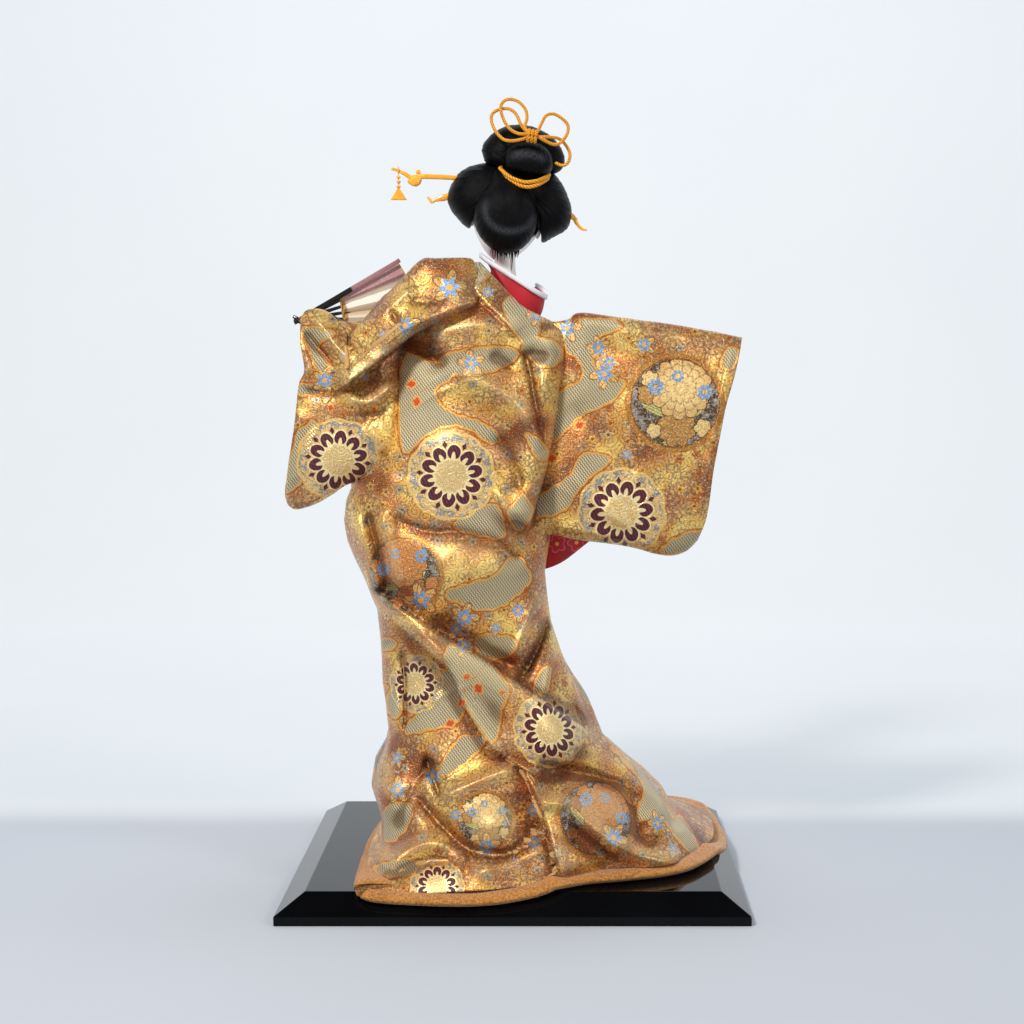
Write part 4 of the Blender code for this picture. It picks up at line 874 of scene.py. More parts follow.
BODY_STROKES = [
    # collar band and the upper back
    ("step", 2.2, 26, 8, [(518, 345), (508.6, 327), (484.5, 303), (473, 290), (460, 271), (450, 257)]),
    ("crease", 5.0, 6, 6, [(522, 343), (529, 369), (536, 406), (546, 450), (545, 462)]),
    ("ridge", 5.0, 9, 13, [(455, 368), (473, 379), (501, 393), (522, 412), (531, 432)]),
    ("ridge", -5.5, 11, 10, [(396, 338), (416, 347), (436, 360), (446, 374)]),
    ("ridge", 3.5, 16, 18, [(425, 338), (462, 326), (500, 326), (516, 338)]),
    ("ridge", -3.0, 7, 8, [(486, 352), (503, 362), (520, 372)]),
    ("ridge", 3.0, 7, 7, [(540, 338), (562, 350), (556, 362), (544, 371)]),
    ("ridge", -3.5, 7, 7, [(524, 350), (540, 356), (552, 352)]),
    ("ridge", 5.0, 7, 6, [(541, 372), (551, 398), (557, 424)]),
    ("step", 13.0, 24, 12, [(564, 322), (567, 350), (560, 386), (556, 419), (547, 466), (535, 508), (528, 530)]),
    ("bump", 3.0, 0, 0, [(455, 452), (42, 30)]),
    ("ridge", -3.0, 10, 9, [(493, 430), (512, 460), (524, 498)]),
    ("fold", 2.5, 5, 8, [(494, 484), (506, 508), (511, 530)]),
    # waist
    ("ridge", 4.5, 7, 8, [(352, 505), (361, 535), (369, 565), (379, 597)]),
    ("ridge", -4.5, 6, 6, [(366, 506), (376, 545), (386, 583), (393, 600)]),
    ("ridge", 4.5, 7, 9, [(378, 508), (388, 540), (398, 572), (402, 592)]),
    ("ridge", -3.2, 9, 9, [(384, 514), (428, 531), (460, 531), (496, 541), (528, 566)]),
    ("bump", 6.5, 0, 0, [(466, 566), (52, 32)]),
    ("step", 9.0, 30, 30, [(372, 588), (392, 603), (418, 620), (445.7, 638), (478, 657.5), (510, 679), (545.7, 703), (592, 735)]),
    ("fold", 2.6, 7, 4, [(384, 602), (412, 624), (442, 653), (452, 668)]),
    ("ridge", -5.0, 11, 16, [(426, 622), (468, 644), (503, 662), (520, 668)]),
    ("step", 3.2, 16, 10, [(541, 778), (521, 768), (505, 757), (490, 748), (474, 723), (463, 703), (452, 674), (430, 652), (402, 625), (376, 596)]),
    ("crease", 3.6, 3.5, 3.5, [(400, 645), (404, 672), (405, 700), (405, 722), (401, 738)]),
    ("ridge", 2.6, 6, 7, [(388, 640), (393, 680), (396, 715), (390, 745)]),
    ("fold", 5.0, 8, 8, [(546, 586), (530, 614), (520, 640), (511, 664)]),
    ("crease", 7.0, 6, 6, [(549, 612), (541, 640), (530, 664), (513, 690)]),
    ("fold", 4.0, 7, 7, [(553, 622), (552, 650), (546, 682), (541, 700)]),
    ("ridge", 3.0, 8, 9, [(558, 645), (574, 684), (590, 720), (604, 742)]),
    ("bump", 4.0, 0, 0, [(548, 735), (36, 26)]),
    ("ridge", -3.5, 9, 9, [(562, 700), (596, 728), (620, 752)]),
    # above the hem
    ("crease", 5.0, 5, 5, [(424, 750), (430, 770), (438, 790), (440, 804)]),
    ("ridge", 4.0, 12, 12, [(392, 752), (388, 778), (393, 806)]),
    ("ridge", -4.0, 10, 9, [(440, 757), (420, 776), (404, 806), (396, 836)]),
    ("ridge", 6.5, 12, 10, [(436, 800), (462, 788), (492, 776), (520, 766)]),
    ("step", 4.5, 18, 14, [(560, 884), (553, 850), (543, 815), (530, 784), (519, 765)]),
    ("ridge", -5.5, 9, 9, [(412, 790), (430, 812), (446, 830), (470, 849), (506, 855), (528, 842), (538, 818)]),
    ("bump", 7.5, 0, 0, [(494, 821), (30, 22)]),
    ("ridge", 5.5, 8, 9, [(384, 868), (404, 851), (430, 843), (452, 846)]),
    ("ridge", -3.5, 7, 7, [(384, 880), (412, 866), (440, 860), (464, 864)]),
    ("crease", 2.4, 2.5, 2.5, [(467, 846), (466, 868), (464, 892)]),
    ("ridge", 3.5, 8, 8, [(470, 874), (500, 866), (534, 852), (552, 848)]),
    ("ridge", -5.0, 10, 10, [(526, 786), (557, 775), (595, 780), (630, 806), (640, 836), (660, 852)]),
    ("ridge", 8.0, 9, 9, [(532, 802), (550, 802), (572, 807), (600, 832), (628, 850), (664, 860), (684, 852)]),
    ("ridge", -3.6, 9, 9, [(566, 826), (590, 846), (624, 866)]),
    ("ridge", -4.5, 8, 8, [(493, 748), (524, 762), (570, 770), (618, 783), (646, 800)]),
    ("step", 3.5, 18, 8, [(640, 768), (660, 796), (683, 823), (704, 848)]),
    ("ridge", 4.0, 9, 9, [(614, 752), (640, 776), (662, 806), (684, 838)]),
    ("bump", 4.5, 0, 0, [(590, 815), (26, 18)]),
]


def facing(P, wrap=False):
    n = grid_normals(P, wrap)
    d = CAM - P
    d /= np.linalg.norm(d, axis=-1, keepdims=True)
    return (n * d).sum(-1)


def toward(P, wrap=False):
    f = facing(P, wrap)
    # normals point outward when the middle of the back looks at the camera
    mid = f[P.shape[0] // 2]
    if mid[np.argmin(P[P.shape[0] // 2, :, 1])] < 0:
        f = -f
    return f


def wrinkles(u, v, seed):
    """Crisp slanting wrinkles in millimetres."""
    w = .010 * vnoise(u / .05, v / .05, seed)
    out_ = 0.0
    for k, (a, lu, lv, amp) in enumerate(((.55, .085, .026, 1.5), (-.45, .075, .023, 1.2), (.95, .060, .017, .7))):
        p_ = (u * math.cos(a) - v * math.sin(a) + w) / lu
        q_ = (u * math.sin(a) + v * math.cos(a) + w) / lv
        mask = smooth01(vnoise(u / .055 + 9 * k, v / .055, seed + 7 + k) * 1.2 + .35)
        out_ = out_ + amp * mask * ((1 - np.abs(vnoise(p_, q_, seed + k))) ** 5 - .25)
    return out_


def hollow(h, r=7):
    """How far each place lies below (-) or above (+) the cloth around it."""
    b = h
    for ax in (0, 1):
        for _ in range(2):
            k_ = np.pad(b, [(r, r) if i == ax else (0, 0) for i in (0, 1)], mode="edge")
            c_ = np.cumsum(k_, axis=ax)
            n_ = b.shape[ax]
            b = (np.take(c_, np.arange(2 * r, 2 * r + n_), ax) - np.take(c_, np.arange(n_), ax)) / (2 * r)
    return np.clip((h - b) / 2.4, -1, 1)


near_b = smooth01((toward(body) + 0.02) / 0.36)
qb = pix(body)
h = 1.7 * relief(qb[..., 0], qb[..., 1], BODY_STROKES)
du = np.diff(qb[..., 0], axis=1) * PX
dd = np.diff(body[..., 1], axis=1)
sgn = np.sign((np.roll(qb, -5, 0)[:, COLS // 2 + 9, 0] - np.roll(qb, -5, 0)[:, COLS // 2 - 9, 0]).mean())
arcx = np.pad(np.cumsum(np.hypot(du, .55 * dd), axis=1), ((0, 0), (1, 0))) * sgn
uvb = np.stack((arcx - arcx[:, [COLS // 2]] + qb[:, [COLS // 2], 0] * PX, -qb[..., 1] * PX), -1)
h += 0.9 * vnoise(uvb[..., 0] / .034, uvb[..., 1] / .045, 5) + 0.45 * vnoise(uvb[..., 0] / .014, uvb[..., 1] / .019, 6)
h += wrinkles(uvb[..., 0], uvb[..., 1], 61)
# how far each place lies below or above the cloth around it; the brocade paints shade and highlight from it
painted_fold_shading = hollow(h)
body0 = body.copy()
eye_x = pix(body0)[..., 0]
cap = 5.0 + 0.62 * PX * 1000.0 * np.minimum(eye_x - eye_x.min(1)[:, None], eye_x.max(1)[:, None] - eye_x)
h = np.where(h > 0, cap * np.tanh(h / cap), h)
body = along_ray(body, -h * near_b * smooth01((toward(body0) + 0.02) / 0.55) * 0.001)
# hanging folds on the hidden side
hang = (np.sin(uvb[..., 0] / 0.0125 + 1.6 * vnoise(uvb[..., 0] / .05, uvb[..., 1] / .09, 9)) * 2.6
        + 1.6 * vnoise(uvb[..., 0] / .03, uvb[..., 1] / .07, 12)) * (1 - near_b)
n0 = grid_normals(body0)
if n0[ROWS // 2, COLS // 2, 1] > 0:
    n0 = -n0
low = np.linspace(0, 1, ROWS)[:, None]
body += n0 * (hang * smooth01(low / 0.12) * smooth01((1 - low) / 0.10) * 0.001)[..., None]

BODY_SPEC = {
    "ribbed": [
        [(456, 258), (482, 259), (497, 272), (472, 286), (461, 271)],
        [(506, 294), (520, 300), (537, 318), (541, 330), (530, 342), (521, 339), (513, 326), (502, 312)],
        [(518, 338), (546, 335), (564, 351), (560, 362), (544, 369), (529, 356)],
        [(436, 352), (480, 352), (517, 344), (517, 362), (493, 369), (461, 378), (443, 368)],
        [(400, 350), (416, 358), (430, 361), (446, 371), (462, 377), (436, 382), (432, 394), (442, 410), (461, 418), (481, 422), (500, 434), (500, 450),
         (479, 434), (460, 422), (438, 427), (419, 438), (410, 450), (402, 460), (399, 410)],
        [(523, 428), (536, 441), (549, 447), (546, 464), (536, 455), (529, 441)],
        [(468, 515), (495, 499), (500, 516), (507, 535), (496, 540), (463, 528), (449, 527)],
        [(513, 548), (532, 572), (528, 584), (512, 599), (501, 606), (483, 611), (470, 606), (449, 599), (446, 595), (456, 586), (487, 582), (506, 570)],
        [(474, 630), (496, 640), (514, 634), (517, 649), (506, 656), (489, 659), (476, 652)],
        [(445, 646), (458, 643), (478, 657), (511, 679), (503, 698), (501, 716), (496, 738), (490, 746), (478, 720), (463, 707), (456, 684), (445, 668)],
        [(433, 670), (446, 668), (460, 689), (467, 716), (449, 724), (435, 729), (424, 727), (404, 738), (405, 723), (430, 706), (440, 693)],
        [(375, 638), (396, 640), (396, 648), (376, 650)], [(383, 690), (403, 680), (404, 712), (390, 722)],
        [(537, 675), (548, 664), (550, 676), (542, 706), (533, 700)],
        [(506, 496), (540, 494), (524, 530), (513, 529)],
        [(374, 806), (409, 799), (414, 815), (399, 836), (382, 846)],
        [(439, 751), (480, 725), (489, 751), (447, 767), (441, 785)],
        [(600, 742), (622, 754), (665, 792), (704, 849), (693, 860), (672, 828), (654, 809), (641, 829), (635, 812), (646, 797), (643, 772)],
        [(381, 857), (434, 862), (417, 874), (368, 878)]],
    "crests": [(450, 475, .2), (552, 728, .4, .86), (412, 684, 1.0, .66), (436, 884, .3, .62)],
    "roundels": [(400, 575, .5, .85, 1), (596, 815, -.3, .85, 1), (484, 818, .2, .62, 0)],
    "flowers": [(415, 400, 1), (409, 383, 1), (478, 686, 1, 1.1), (465, 676, 1, .8), (459, 702, 1, .9), (449, 722, 1, 1.0), (458, 285, 0, 1.25),
                (486, 290, 0, .8), (540, 312, 0, .9), (470, 362, 0, 1.15), (465, 615, 0, 1.25), (418, 600, 0, 1.45), (455, 628, 0, 1.0),
                (463, 643, 0, 1.0), (395, 790, 0, 1.2), (430, 775, 0, 1.1), (487, 845, 0, 1.2), (535, 840, 0, 1.0), (532, 808, 0, .9), (615, 835, 0, 1.3),
                (660, 822, 0, 1.1), (675, 846, 0, .8), (520, 610, 0, 1.0), (395, 757, 0, .9), (497, 627, 0, .7), (503, 690, 1, .7), (453, 814, 0, .8)],
}
attrs = paint(body0, uvb, near_b, BODY_SPEC, 3)
# on the hidden side the painted fold shade and highlight follow the sine of the hanging folds
attrs["painted_fold_shading"] = painted_fold_shading * near_b + .5 * (1 - near_b) * np.sin(uvb[..., 0] / 0.0125 + 1.6 * vnoise(uvb[..., 0] / .05, uvb[..., 1] / .09, 9))
robe = shell("robe_gold_brocade", body, attrs, 0.0011, [BROCADE, LINING], normals=None,
             flip=bool(grid_normals(body)[ROWS // 2, COLS // 2, 1] > 0))
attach(robe, "root")
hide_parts("robe_body")


# ---------------------------------------------------------------- sleeves
def coons(top, bottom, left, right, n, m):
    """Patch between four image lines; top and bottom go from left to right, left and right from top to bottom."""
    top, bottom = resample(top, m), resample(bottom, m)
    left, right = resample(left, n), resample(right, n)
    s = np.linspace(0, 1, m)[None, :, None]
    t = np.linspace(0, 1, n)[:, None, None]
    a = top[None] * (1 - t) + bottom[None] * t
    b = left[:, None] * (1 - s) + right[:, None] * s
    c = (top[0] * (1 - s) + top[-1] * s) * (1 - t) + (bottom[0] * (1 - s) + bottom[-1] * s) * t
    return a + b - c


def sleeve(name, top, bottom, armhole, cuff, y_near, y_far, strokes, spec, seed, far_trim, node, right_side):
    n_near, n_far, m = 151, 75, 151
    patch = coons(top, bottom, armhole, cuff, n_near, m)          # rows top to bottom, columns armhole to cuff
    s = np.linspace(0, 1, m)[None, :]
    t = np.linspace(0, 1, n_near)[:, None]
    yn, yf = np.interp(s, *y_near), np.interp(s, *y_far)
    mid = (yn + yf) / 2
    round_n = (1 - np.abs(2 * t - 1) ** 3.2) ** 0.62
    depth = mid + (yn - mid) * round_n
    near = unpix(patch, np.broadcast_to(depth, patch.shape[:2]))
    q = patch
    raw = 1.6 * relief(q[..., 0], q[..., 1], strokes) + .75 * wrinkles(q[..., 0] * PX, q[..., 1] * PX, seed + 40)
    hgt = raw * smooth01(t / .03) * smooth01((1 - t) / .03)
    cav_n = hollow(raw)
    near_s = along_ray(near, -hgt * 0.001)
    # far side, from the bottom back up to the top, without the two shared lines
    tf = np.linspace(1, 0, n_far + 2)[1:-1]
    sf = np.linspace(0, 1, m)
    it, cols = tf * (n_near - 1), np.arange(m)
    rows_f = []
    for k, tt in zip(it, tf):
        i = min(int(k), n_near - 2)
        row = patch[i] * (1 - (k - i)) + patch[i + 1] * (k - i)
        keep = sf * (1.0 - far_trim * math.exp(-(tt / 0.24) ** 2))
        row = np.stack([np.interp(keep, sf, row[:, c]) for c in (0, 1)], -1)
        d = mid[0] + (yf[0] - mid[0]) * (1 - abs(2 * tt - 1) ** 3.2) ** 0.62
        rows_f.append(unpix(row, np.interp(keep, sf, d)))
    far = np.array(rows_f)
    # the top seam slides back with the trimmed front edge
    P = np.concatenate((near_s, far))
    base = np.concatenate((near, far))
    P, base = P.transpose(1, 0, 2), base.transpose(1, 0, 2)        # rows along the sleeve, columns round it
    if P.shape[1] % 2:
        P, base = P[:, :-1], base[:, :-1]
    uv = pix(base) * (PX, -PX)
    low_v = uv[:, [n_near - 1], 1]
    uv[:, n_near:, 1] = 2 * low_v - uv[:, n_near:, 1]
    col = np.arange(P.shape[1])
    nearness = np.broadcast_to(smooth01((n_near - 1 + 6 - col) / 8.0), P.shape[:2])
    farf = 1 - nearness
    nn = grid_normals(base, True)
    if nn[m // 2, n_near // 2, 1] > 0:
        nn = -nn
    wav = (np.sin(uv[..., 0] / 0.011) * 1.2 + 1.5 * vnoise(uv[..., 0] / .03, uv[..., 1] / .05, seed)) * farf
    wav += 0.55 * vnoise(uv[..., 0] / .03, uv[..., 1] / .03, seed + 3) + 0.25 * vnoise(uv[..., 0] / .011, uv[..., 1] / .013, seed + 4)
    P = P + nn * (wav * 0.001)[..., None]
    a = paint(base, uv, nearness.copy(), spec, seed)
    cav_ = np.zeros(P.shape[:2])
    cav_[:, :n_near] = cav_n.T
    a["painted_fold_shading"] = cav_
    o = shell(name, P, a, 0.0010, [BROCADE, LINING], wrap=True, flip=bool(grid_normals(P, True)[m // 2, n_near // 2, 1] > 0))
    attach(o, "root")
    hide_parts(node)
    return o


RIGHT_STROKES = [
    ("ridge", 2.2, 10, 10, [(572, 322), (600, 324), (640, 330), (690, 338)]),
    ("ridge", -2.0, 12, 12, [(582, 344), (620, 352), (670, 356), (720, 362)]),
    ("bump", 3.0, 0, 0, [(670, 410), (40, 44)]),
    ("ridge", -2.4, 12, 14, [(570, 400), (600, 440), (640, 476)]),
    ("bump", 2.4, 0, 0, [(620, 512), (44, 24)]),
    ("ridge", 2.0, 9, 9, [(572, 470), (590, 500), (640, 534)]),
    ("ridge", 1.6, 4, 5, [(733, 345), (720, 400), (707, 470), (697, 520)]),
    ("crease", 1.0, 2, 2, [(728, 346), (714, 402), (701, 472), (690, 524)]),
    ("ridge", 1.8, 6, 6, [(545, 524), (600, 534), (655, 545)]),
]
RIGHT_SPEC = {
    "ribbed": [
        [(568, 321), (600, 318), (627, 322), (615, 331), (592, 336), (594, 350), (592, 374), (612, 389), (629, 371), (622, 389), (610, 403), (592, 409),
         (574, 418), (558, 440), (545, 446), (548, 410), (558, 389), (583, 385), (587, 371), (574, 352), (562, 350)],
        [(577, 451), (600, 455), (616, 461), (592, 471), (574, 493), (568, 508), (556, 513), (525, 518), (530, 500), (550, 492), (567, 479), (578, 470)],
        [(704, 524), (702, 540), (690, 550), (672, 554), (655, 551), (670, 544)],
        [(740, 340), (737, 360), (728, 373), (716, 359)]],
    "crests": [(621, 515, .1)],
    "roundels": [(677, 402, .05, 1.02, 0)],
    "flowers": [(598, 345, 0, 1.0), (608, 360, 0, .9), (602, 372, 0, 1.25), (644, 342, 0, 1.0), (624, 454, 0, .7), (577, 426, 1, 1.0),
                (566, 326, 0, 1.2), (550, 460, 1, 1.0)],
}
sleeve_right = sleeve(
    "robe_sleeve_right_brocade",
    [(538, 322), (556, 321), (569, 319), (577, 313.5), (598.7, 314.6), (650, 321.5), (697.4, 328.4), (742, 337.6)],
    [(521, 530), (540, 533), (555, 535), (587, 540.8), (628.6, 546.5), (655, 553), (672, 555), (686, 551), (697.5, 540.5)],
    [(538, 322), (540, 352), (545, 389), (543, 419), (534, 470), (526, 505), (521, 530)],
    [(742, 337.6), (740.5, 348), (736.5, 368), (731, 388), (725.5, 408), (718, 446.6), (713.5, 469.6), (707.8, 511), (704.3, 524.7), (697.5, 540.5)],
    ([0, .10, .25, .5, 1], [-.026, -.034, -.041, -.043, -.037]), ([0, .10, .25, .5, 1], [-.014, -.012, -.010, -.007, -.004]),
    RIGHT_STROKES, RIGHT_SPEC, 11, 0.0, "robe_sleeve_right", True)

LEFT_STROKES = [
    ("step", 9.5, 26, 18, [(486, 302), (455, 316), (429, 327), (407, 339), (373.6, 365), (355, 378), (338, 391)]),
    ("ridge", 3.5, 7, 6, [(478, 299), (450, 311), (425, 320), (402, 332), (380, 350)]),
    ("ridge", 4.5, 11, 11, [(345, 344), (362, 330), (380, 316), (397, 301), (420, 285)]),
    ("crease", 3.0, 3, 3, [(388, 307), (396, 318), (402, 328), (406, 336)]),
    ("ridge", -2.5, 8, 8, [(400, 296), (425, 303), (450, 304)]),
    ("ridge", 3.0, 12, 12, [(430, 275), (455, 284), (472, 296)]),
    ("ridge", -4.5, 6, 8, [(300, 325), (312, 342), (328, 358), (342, 380)]),
    ("ridge", 4.0, 8, 8, [(308, 316), (322, 326), (338, 348), (356, 362)]),
    ("ridge", 3.5, 5, 6, [(302, 348), (308, 366), (304, 380)]),
    ("crease", 3.5, 5, 7, [(298, 386), (312, 391), (330, 393), (348, 392)]),
    ("ridge", 4.5, 8, 8, [(342, 391), (356, 400), (372, 401), (388, 388), (400, 378)]),
    ("ridge", -3.0, 8, 9, [(352, 412), (376, 416), (396, 404)]),
    ("ridge", 3.5, 9, 9, [(394, 398), (391, 430), (393, 466)]),
    ("ridge", 4.0, 7, 8, [(366, 424), (378, 440), (388, 458)]),
    ("ridge", -3.0, 8, 8, [(384, 466), (366, 478), (344, 482)]),
    ("bump", 3.0, 0, 0, [(335, 462), (24, 30)]),
    ("ridge", 2.0, 8, 8, [(301, 405), (297, 440), (292, 490)]),
    ("ridge", 2.0, 5, 5, [(292, 504), (318, 500), (346, 486)]),
    ("ridge", -2.6, 6, 6, [(399, 352), (399, 400), (400, 470)]),
]
LEFT_SPEC = {
    "ribbed": [
        [(303, 323), (318, 332), (335, 330), (334, 336), (312, 343), (322, 354), (330, 366), (326, 374), (318, 372), (312, 356), (303, 336)],
        [(296, 386), (308, 384), (330, 392), (314, 393), (297, 396)],
        [(303, 424), (322, 420), (312, 436), (305, 462), (301, 482), (290, 492), (284, 490), (288, 466), (296, 440)],
        [(396, 332), (412, 326), (406, 340), (397, 344)], [(388, 471), (404, 464), (404, 474), (392, 478)]],
    "crests": [(338, 463, .2, .94)],
    "roundels": [],
    "flowers": [(324, 378, 0, 1.15), (380, 333, 0, .6), (406, 323, 0, 1.3), (345, 353, 0, .6), (328, 408, 1, .7), (374, 413, 1, .7), (451, 285, 0, 1.5),
                (362, 378, 0, .5), (345, 393, 1, .4)],
}
sleeve_left = sleeve(
    "robe_sleeve_left_brocade",
    [(474, 262), (469.7, 258.4), (452, 258), (436, 258.5), (421.7, 259.6), (403, 277), (390, 290), (379, 301), (362, 322), (350, 335), (341, 345),
     (347, 334), (340, 323), (331, 314), (320, 309), (307, 310), (300.5, 319.5)],
    [(408, 478), (380, 481), (351, 484), (333, 495), (316, 504.5), (297.7, 509.6), (289, 505), (285.5, 496)],
    [(474, 262), (480, 285), (487, 303), (460, 314), (430, 326), (407, 340), (404, 360), (404, 390), (405, 443), (408, 478)],
    [(300.5, 319.5), (300.2, 343.6), (304, 369.5), (299.6, 382.4), (296.8, 401), (294, 427), (289, 460), (285.5, 496)],
    ([0, .05, .16, .4, .75, 1], [-.030, -.043, -.051, -.050, -.042, -.036]), ([0, .1, .4, .75, 1], [-.018, -.014, -.010, -.006, -.004]),
    LEFT_STROKES, LEFT_SPEC, 21, 0.30, "robe_sleeve_left", False)


# ---------------------------------------------------------------- padded hem roll
def tube_rows(path, radius_w, radius_h, m, up=(0, 0, 1)):
    """Oval tube round a path; returns rows (n, m, 3)."""
    path = np.asarray(path, float)
    d = np.gradient(path, axis=0)
    d /= np.linalg.norm(d, axis=1, keepdims=True)
    up = np.broadcast_to(np.asarray(up, float), path.shape)
    side = np.cross(d, up)
    side /= np.maximum(np.linalg.norm(side, axis=1, keepdims=True), 1e-9)
    up2 = np.cross(side, d)
    a = np.linspace(0, 2 * math.pi, m, endpoint=False)
    rw, rh = np.broadcast_to(radius_w, len(path)), np.broadcast_to(radius_h, len(path))
    return path[:, None] + side[:, None] * (np.cos(a)[None, :, None] * rw[:, None, None]) + up2[:, None] * (np.sin(a)[None, :, None] * rh[:, None, None])


def tube_mesh(name, rows, mats, closed=False, attrs=None):
    n, m = rows.shape[:2]
    verts = rows.reshape(-1, 3)
    if closed:
        r, c = np.meshgrid(np.arange(n), np.arange(m), indexing="ij")
        f = np.stack((r * m + c, r * m + (c + 1) % m, ((r + 1) % n) * m + (c + 1) % m, ((r + 1) % n) * m + c), -1).reshape(-1, 4)
        return mesh_from(name, verts, [f], mats, attrs=attrs)
    f = grid_faces(n, m, True)
    verts = np.concatenate((verts, [rows[0].mean(0), rows[-1].mean(0)]))
    k = n * m
    j = np.arange(m)
    cap1 = np.stack((np.full(m, k), (j + 1) % m, j), -1)
    cap2 = np.stack((np.full(m, k + 1), (n - 1) * m + j, (n - 1) * m + (j + 1) % m), -1)
    if attrs:
        attrs = {a: np.concatenate((np.asarray(v).reshape((n * m,) + np.asarray(v).shape[2:]), np.asarray(v)[[0, -1], 0]))
                 for a, v in attrs.items()}
    o = mesh_from(name, verts, [f, cap1, cap2], mats, attrs=attrs)
    fix_normals(o)
    return o


def fix_normals(o):
    bm = bmesh.new()
    bm.from_mesh(o.data)
    bmesh.ops.recalc_face_normals(bm, faces=bm.faces)
    bm.to_mesh(o.data)
    bm.free()


hem_deg = np.linspace(118, 424, 420)
hem_line = fill(HEM, hem_deg)
d = np.gradient(hem_line, axis=0)
d /= np.linalg.norm(d, axis=1, keepdims=True)
out = np.stack((d[:, 1], -d[:, 0], np.zeros(len(d))), -1)
out /= np.linalg.norm(out, axis=1, keepdims=True)
if out[len(out) // 2, 1] > 0:
    out = -out
# how far the roll stands out beyond the brocade's edge, by angle
reach = np.interp(hem_deg, [118, 180, 215, 226, 236, 262, 290, 330, 347, 360, 424], [.006, .004, .0035, .0035, .0050, .0085, .0085, .0078, .0085, .0085, .008])
TOP_X, TOP_Y = .1454, .1377
over = np.maximum(0, np.abs(hem_line[:, 0] + out[:, 0] * reach) - TOP_X) + np.maximum(0, np.abs(hem_line[:, 1] + out[:, 1] * reach) - TOP_Y)
centre = hem_line + out * (reach - .0108)[:, None]
centre[:, 2] = .0193 + .0048 - 0.75 * np.maximum(over - .004, 0)
wob = vnoise(np.arange(420) / 11.0, np.zeros(420), 31)
end = np.minimum(1, np.minimum(np.arange(420), 419 - np.arange(420)) / 14.0) ** .5
hem_rows = tube_rows(centre, (.0128 + .0004 * wob) * (0.35 + .65 * end), (.0046 + .0002 * wob) * (0.35 + .65 * end), 34)
hem_roll = tube_mesh("robe_hem_padding", hem_rows, [CREPE])
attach(hem_roll, "root")
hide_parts("robe_hem_roll")

# ---------------------------------------------------------------- lacquered board
def lacquer():
    s = Shader("black_lacquer")
    o = s.obj()
    haze = s.noise(o, 14.0, 3.0)
    dust = s.noise(o, 900.0, 2.0)
    c = s.mix(s.lerp(haze, 0.3, 0.7, 0, 1), "#050506", "#0B0C0E")
    c = s.mix(s.step(dust, 0.72, 0.80) * 0.25, c, "#3A3C40")
    rough = s.lerp(haze, 0.3, 0.7, 0.035, 0.075)
    return s.set(color=c, rough=rough, ior=1.24, normal=s.bump(s.noise(o, 6.0, 1.0), 0.0006, 0.25))


LACQUER = lacquer()
board = NODES["base_board"]
board.data.materials.clear()
board.data.materials.append(LACQUER)

# ---------------------------------------------------------------- under-robe, collars and padding
def front_back(deg, front, back):
    """Inset by angle: small in front, large under the back."""
    v = np.sin(np.radians(deg))
    return front + (back - front) * smooth01(0.5 - v * 1.2)


def ring_between(k, deg, inset):
    k = min(max(k, 0.0), 16.0)
    i = min(int(k), 15)
    f = k - i
    s = [a + (b - a) * f for a, b in zip(ROBE[i], ROBE[i + 1])]
    return ring_pts(s, deg, inset)


COLLAR = [(-.0215, .4520, .0135, .4060, 0, -.0195, .0190, 0, 2.0, 44), (-.0235, .4610, .0155, .4130, 0, -.0206, .0200, 0, 2.0, 44),
          (-.0262, .4640, .0205, .4240, 0, -.0203, .0195, 0, 2.0, 44), (-.0270, .4650, .0225, .4335, 0, -.0195, .0190, 0, 2.0, 46)]
m = 181
f = np.linspace(0, 1, m)
ctrl = []
n_in = grid_normals(body0)
if n_in[ROWS // 2, COLS // 2, 1] > 0:
    n_in = -n_in
col_f = np.interp(np.linspace(0, 1, COLS), [0, .15, .85, 1], [0, .245, .775, 1])


def at_body(k, deg):
    """Place and outward normal of the over-robe at a station and angle."""
    r_ = int(np.argmin(np.abs(ks - k)))
    half = float(np.interp(k, range(17), [s_[9] for s_ in ROBE]))
    c_ = np.interp((deg - 90 - half) / (360 - 2 * half), col_f, np.arange(COLS))
    ids = np.arange(COLS)
    return (np.stack([np.interp(c_, ids, body0[r_, :, a]) for a in range(3)], -1), np.stack([np.interp(c_, ids, n_in[r_, :, a]) for a in range(3)], -1),
            half)


for k in (0.35, 1.2, 2.6, 4.2, 6, 7.8, 9.4, 11.2, 12.6, 13.6, 14.4):
    top = min(1.0, max(0.0, (k - 12.0) / 4.0))
    deg = (62 + 72 * top) + ((478 - 72 * top) - (62 + 72 * top)) * f
    front = 0.0060 + 0.0050 * min(1, max(0, (12.8 - k) / 1.5)) * min(1, max(0, (k - 4) / 2))
    ins = front_back(deg, front, 0.017 if k < 13 else 0.010)
    p = ring_between(k, deg, ins)
    q = ring_between(k, deg, ins + 0.0028)
    b_pt, b_n, half = at_body(k, np.clip(deg, 90, 450))
    low = smooth01((9.0 - k) / 2.0) * smooth01((deg - 90 - half - 6) / 16) * smooth01((450 - half - 6 - deg) / 16)
    alt = b_pt - b_n * (ins + .001)[:, None]
    p = p * (1 - low[:, None]) + alt * low[:, None]
    q = q * (1 - low[:, None]) + (alt - b_n * .0028) * low[:, None]
    row = p * (1 - f[:, None]) + q * f[:, None]
    row[:, 2] -= 0.0055 * max(0.0, min(1.0, (k - 11.5) / 2.0))
    if k < 1:
        row[:, 2] = 0.0215 + .3 * np.maximum(0, row[:, 2] - .03)
    ctrl.append(row)
def far_lift(p_, k=1.0):
    """The collar stands a little higher on the side of the throat."""
    p_[:, 2] += k * .0042 * smooth01((p_[:, 1] + .004) / .016) * smooth01((p_[:, 0] + .02) / .03) - k * .0012 * smooth01((-p_[:, 1] - .004) / .012)
    return p_


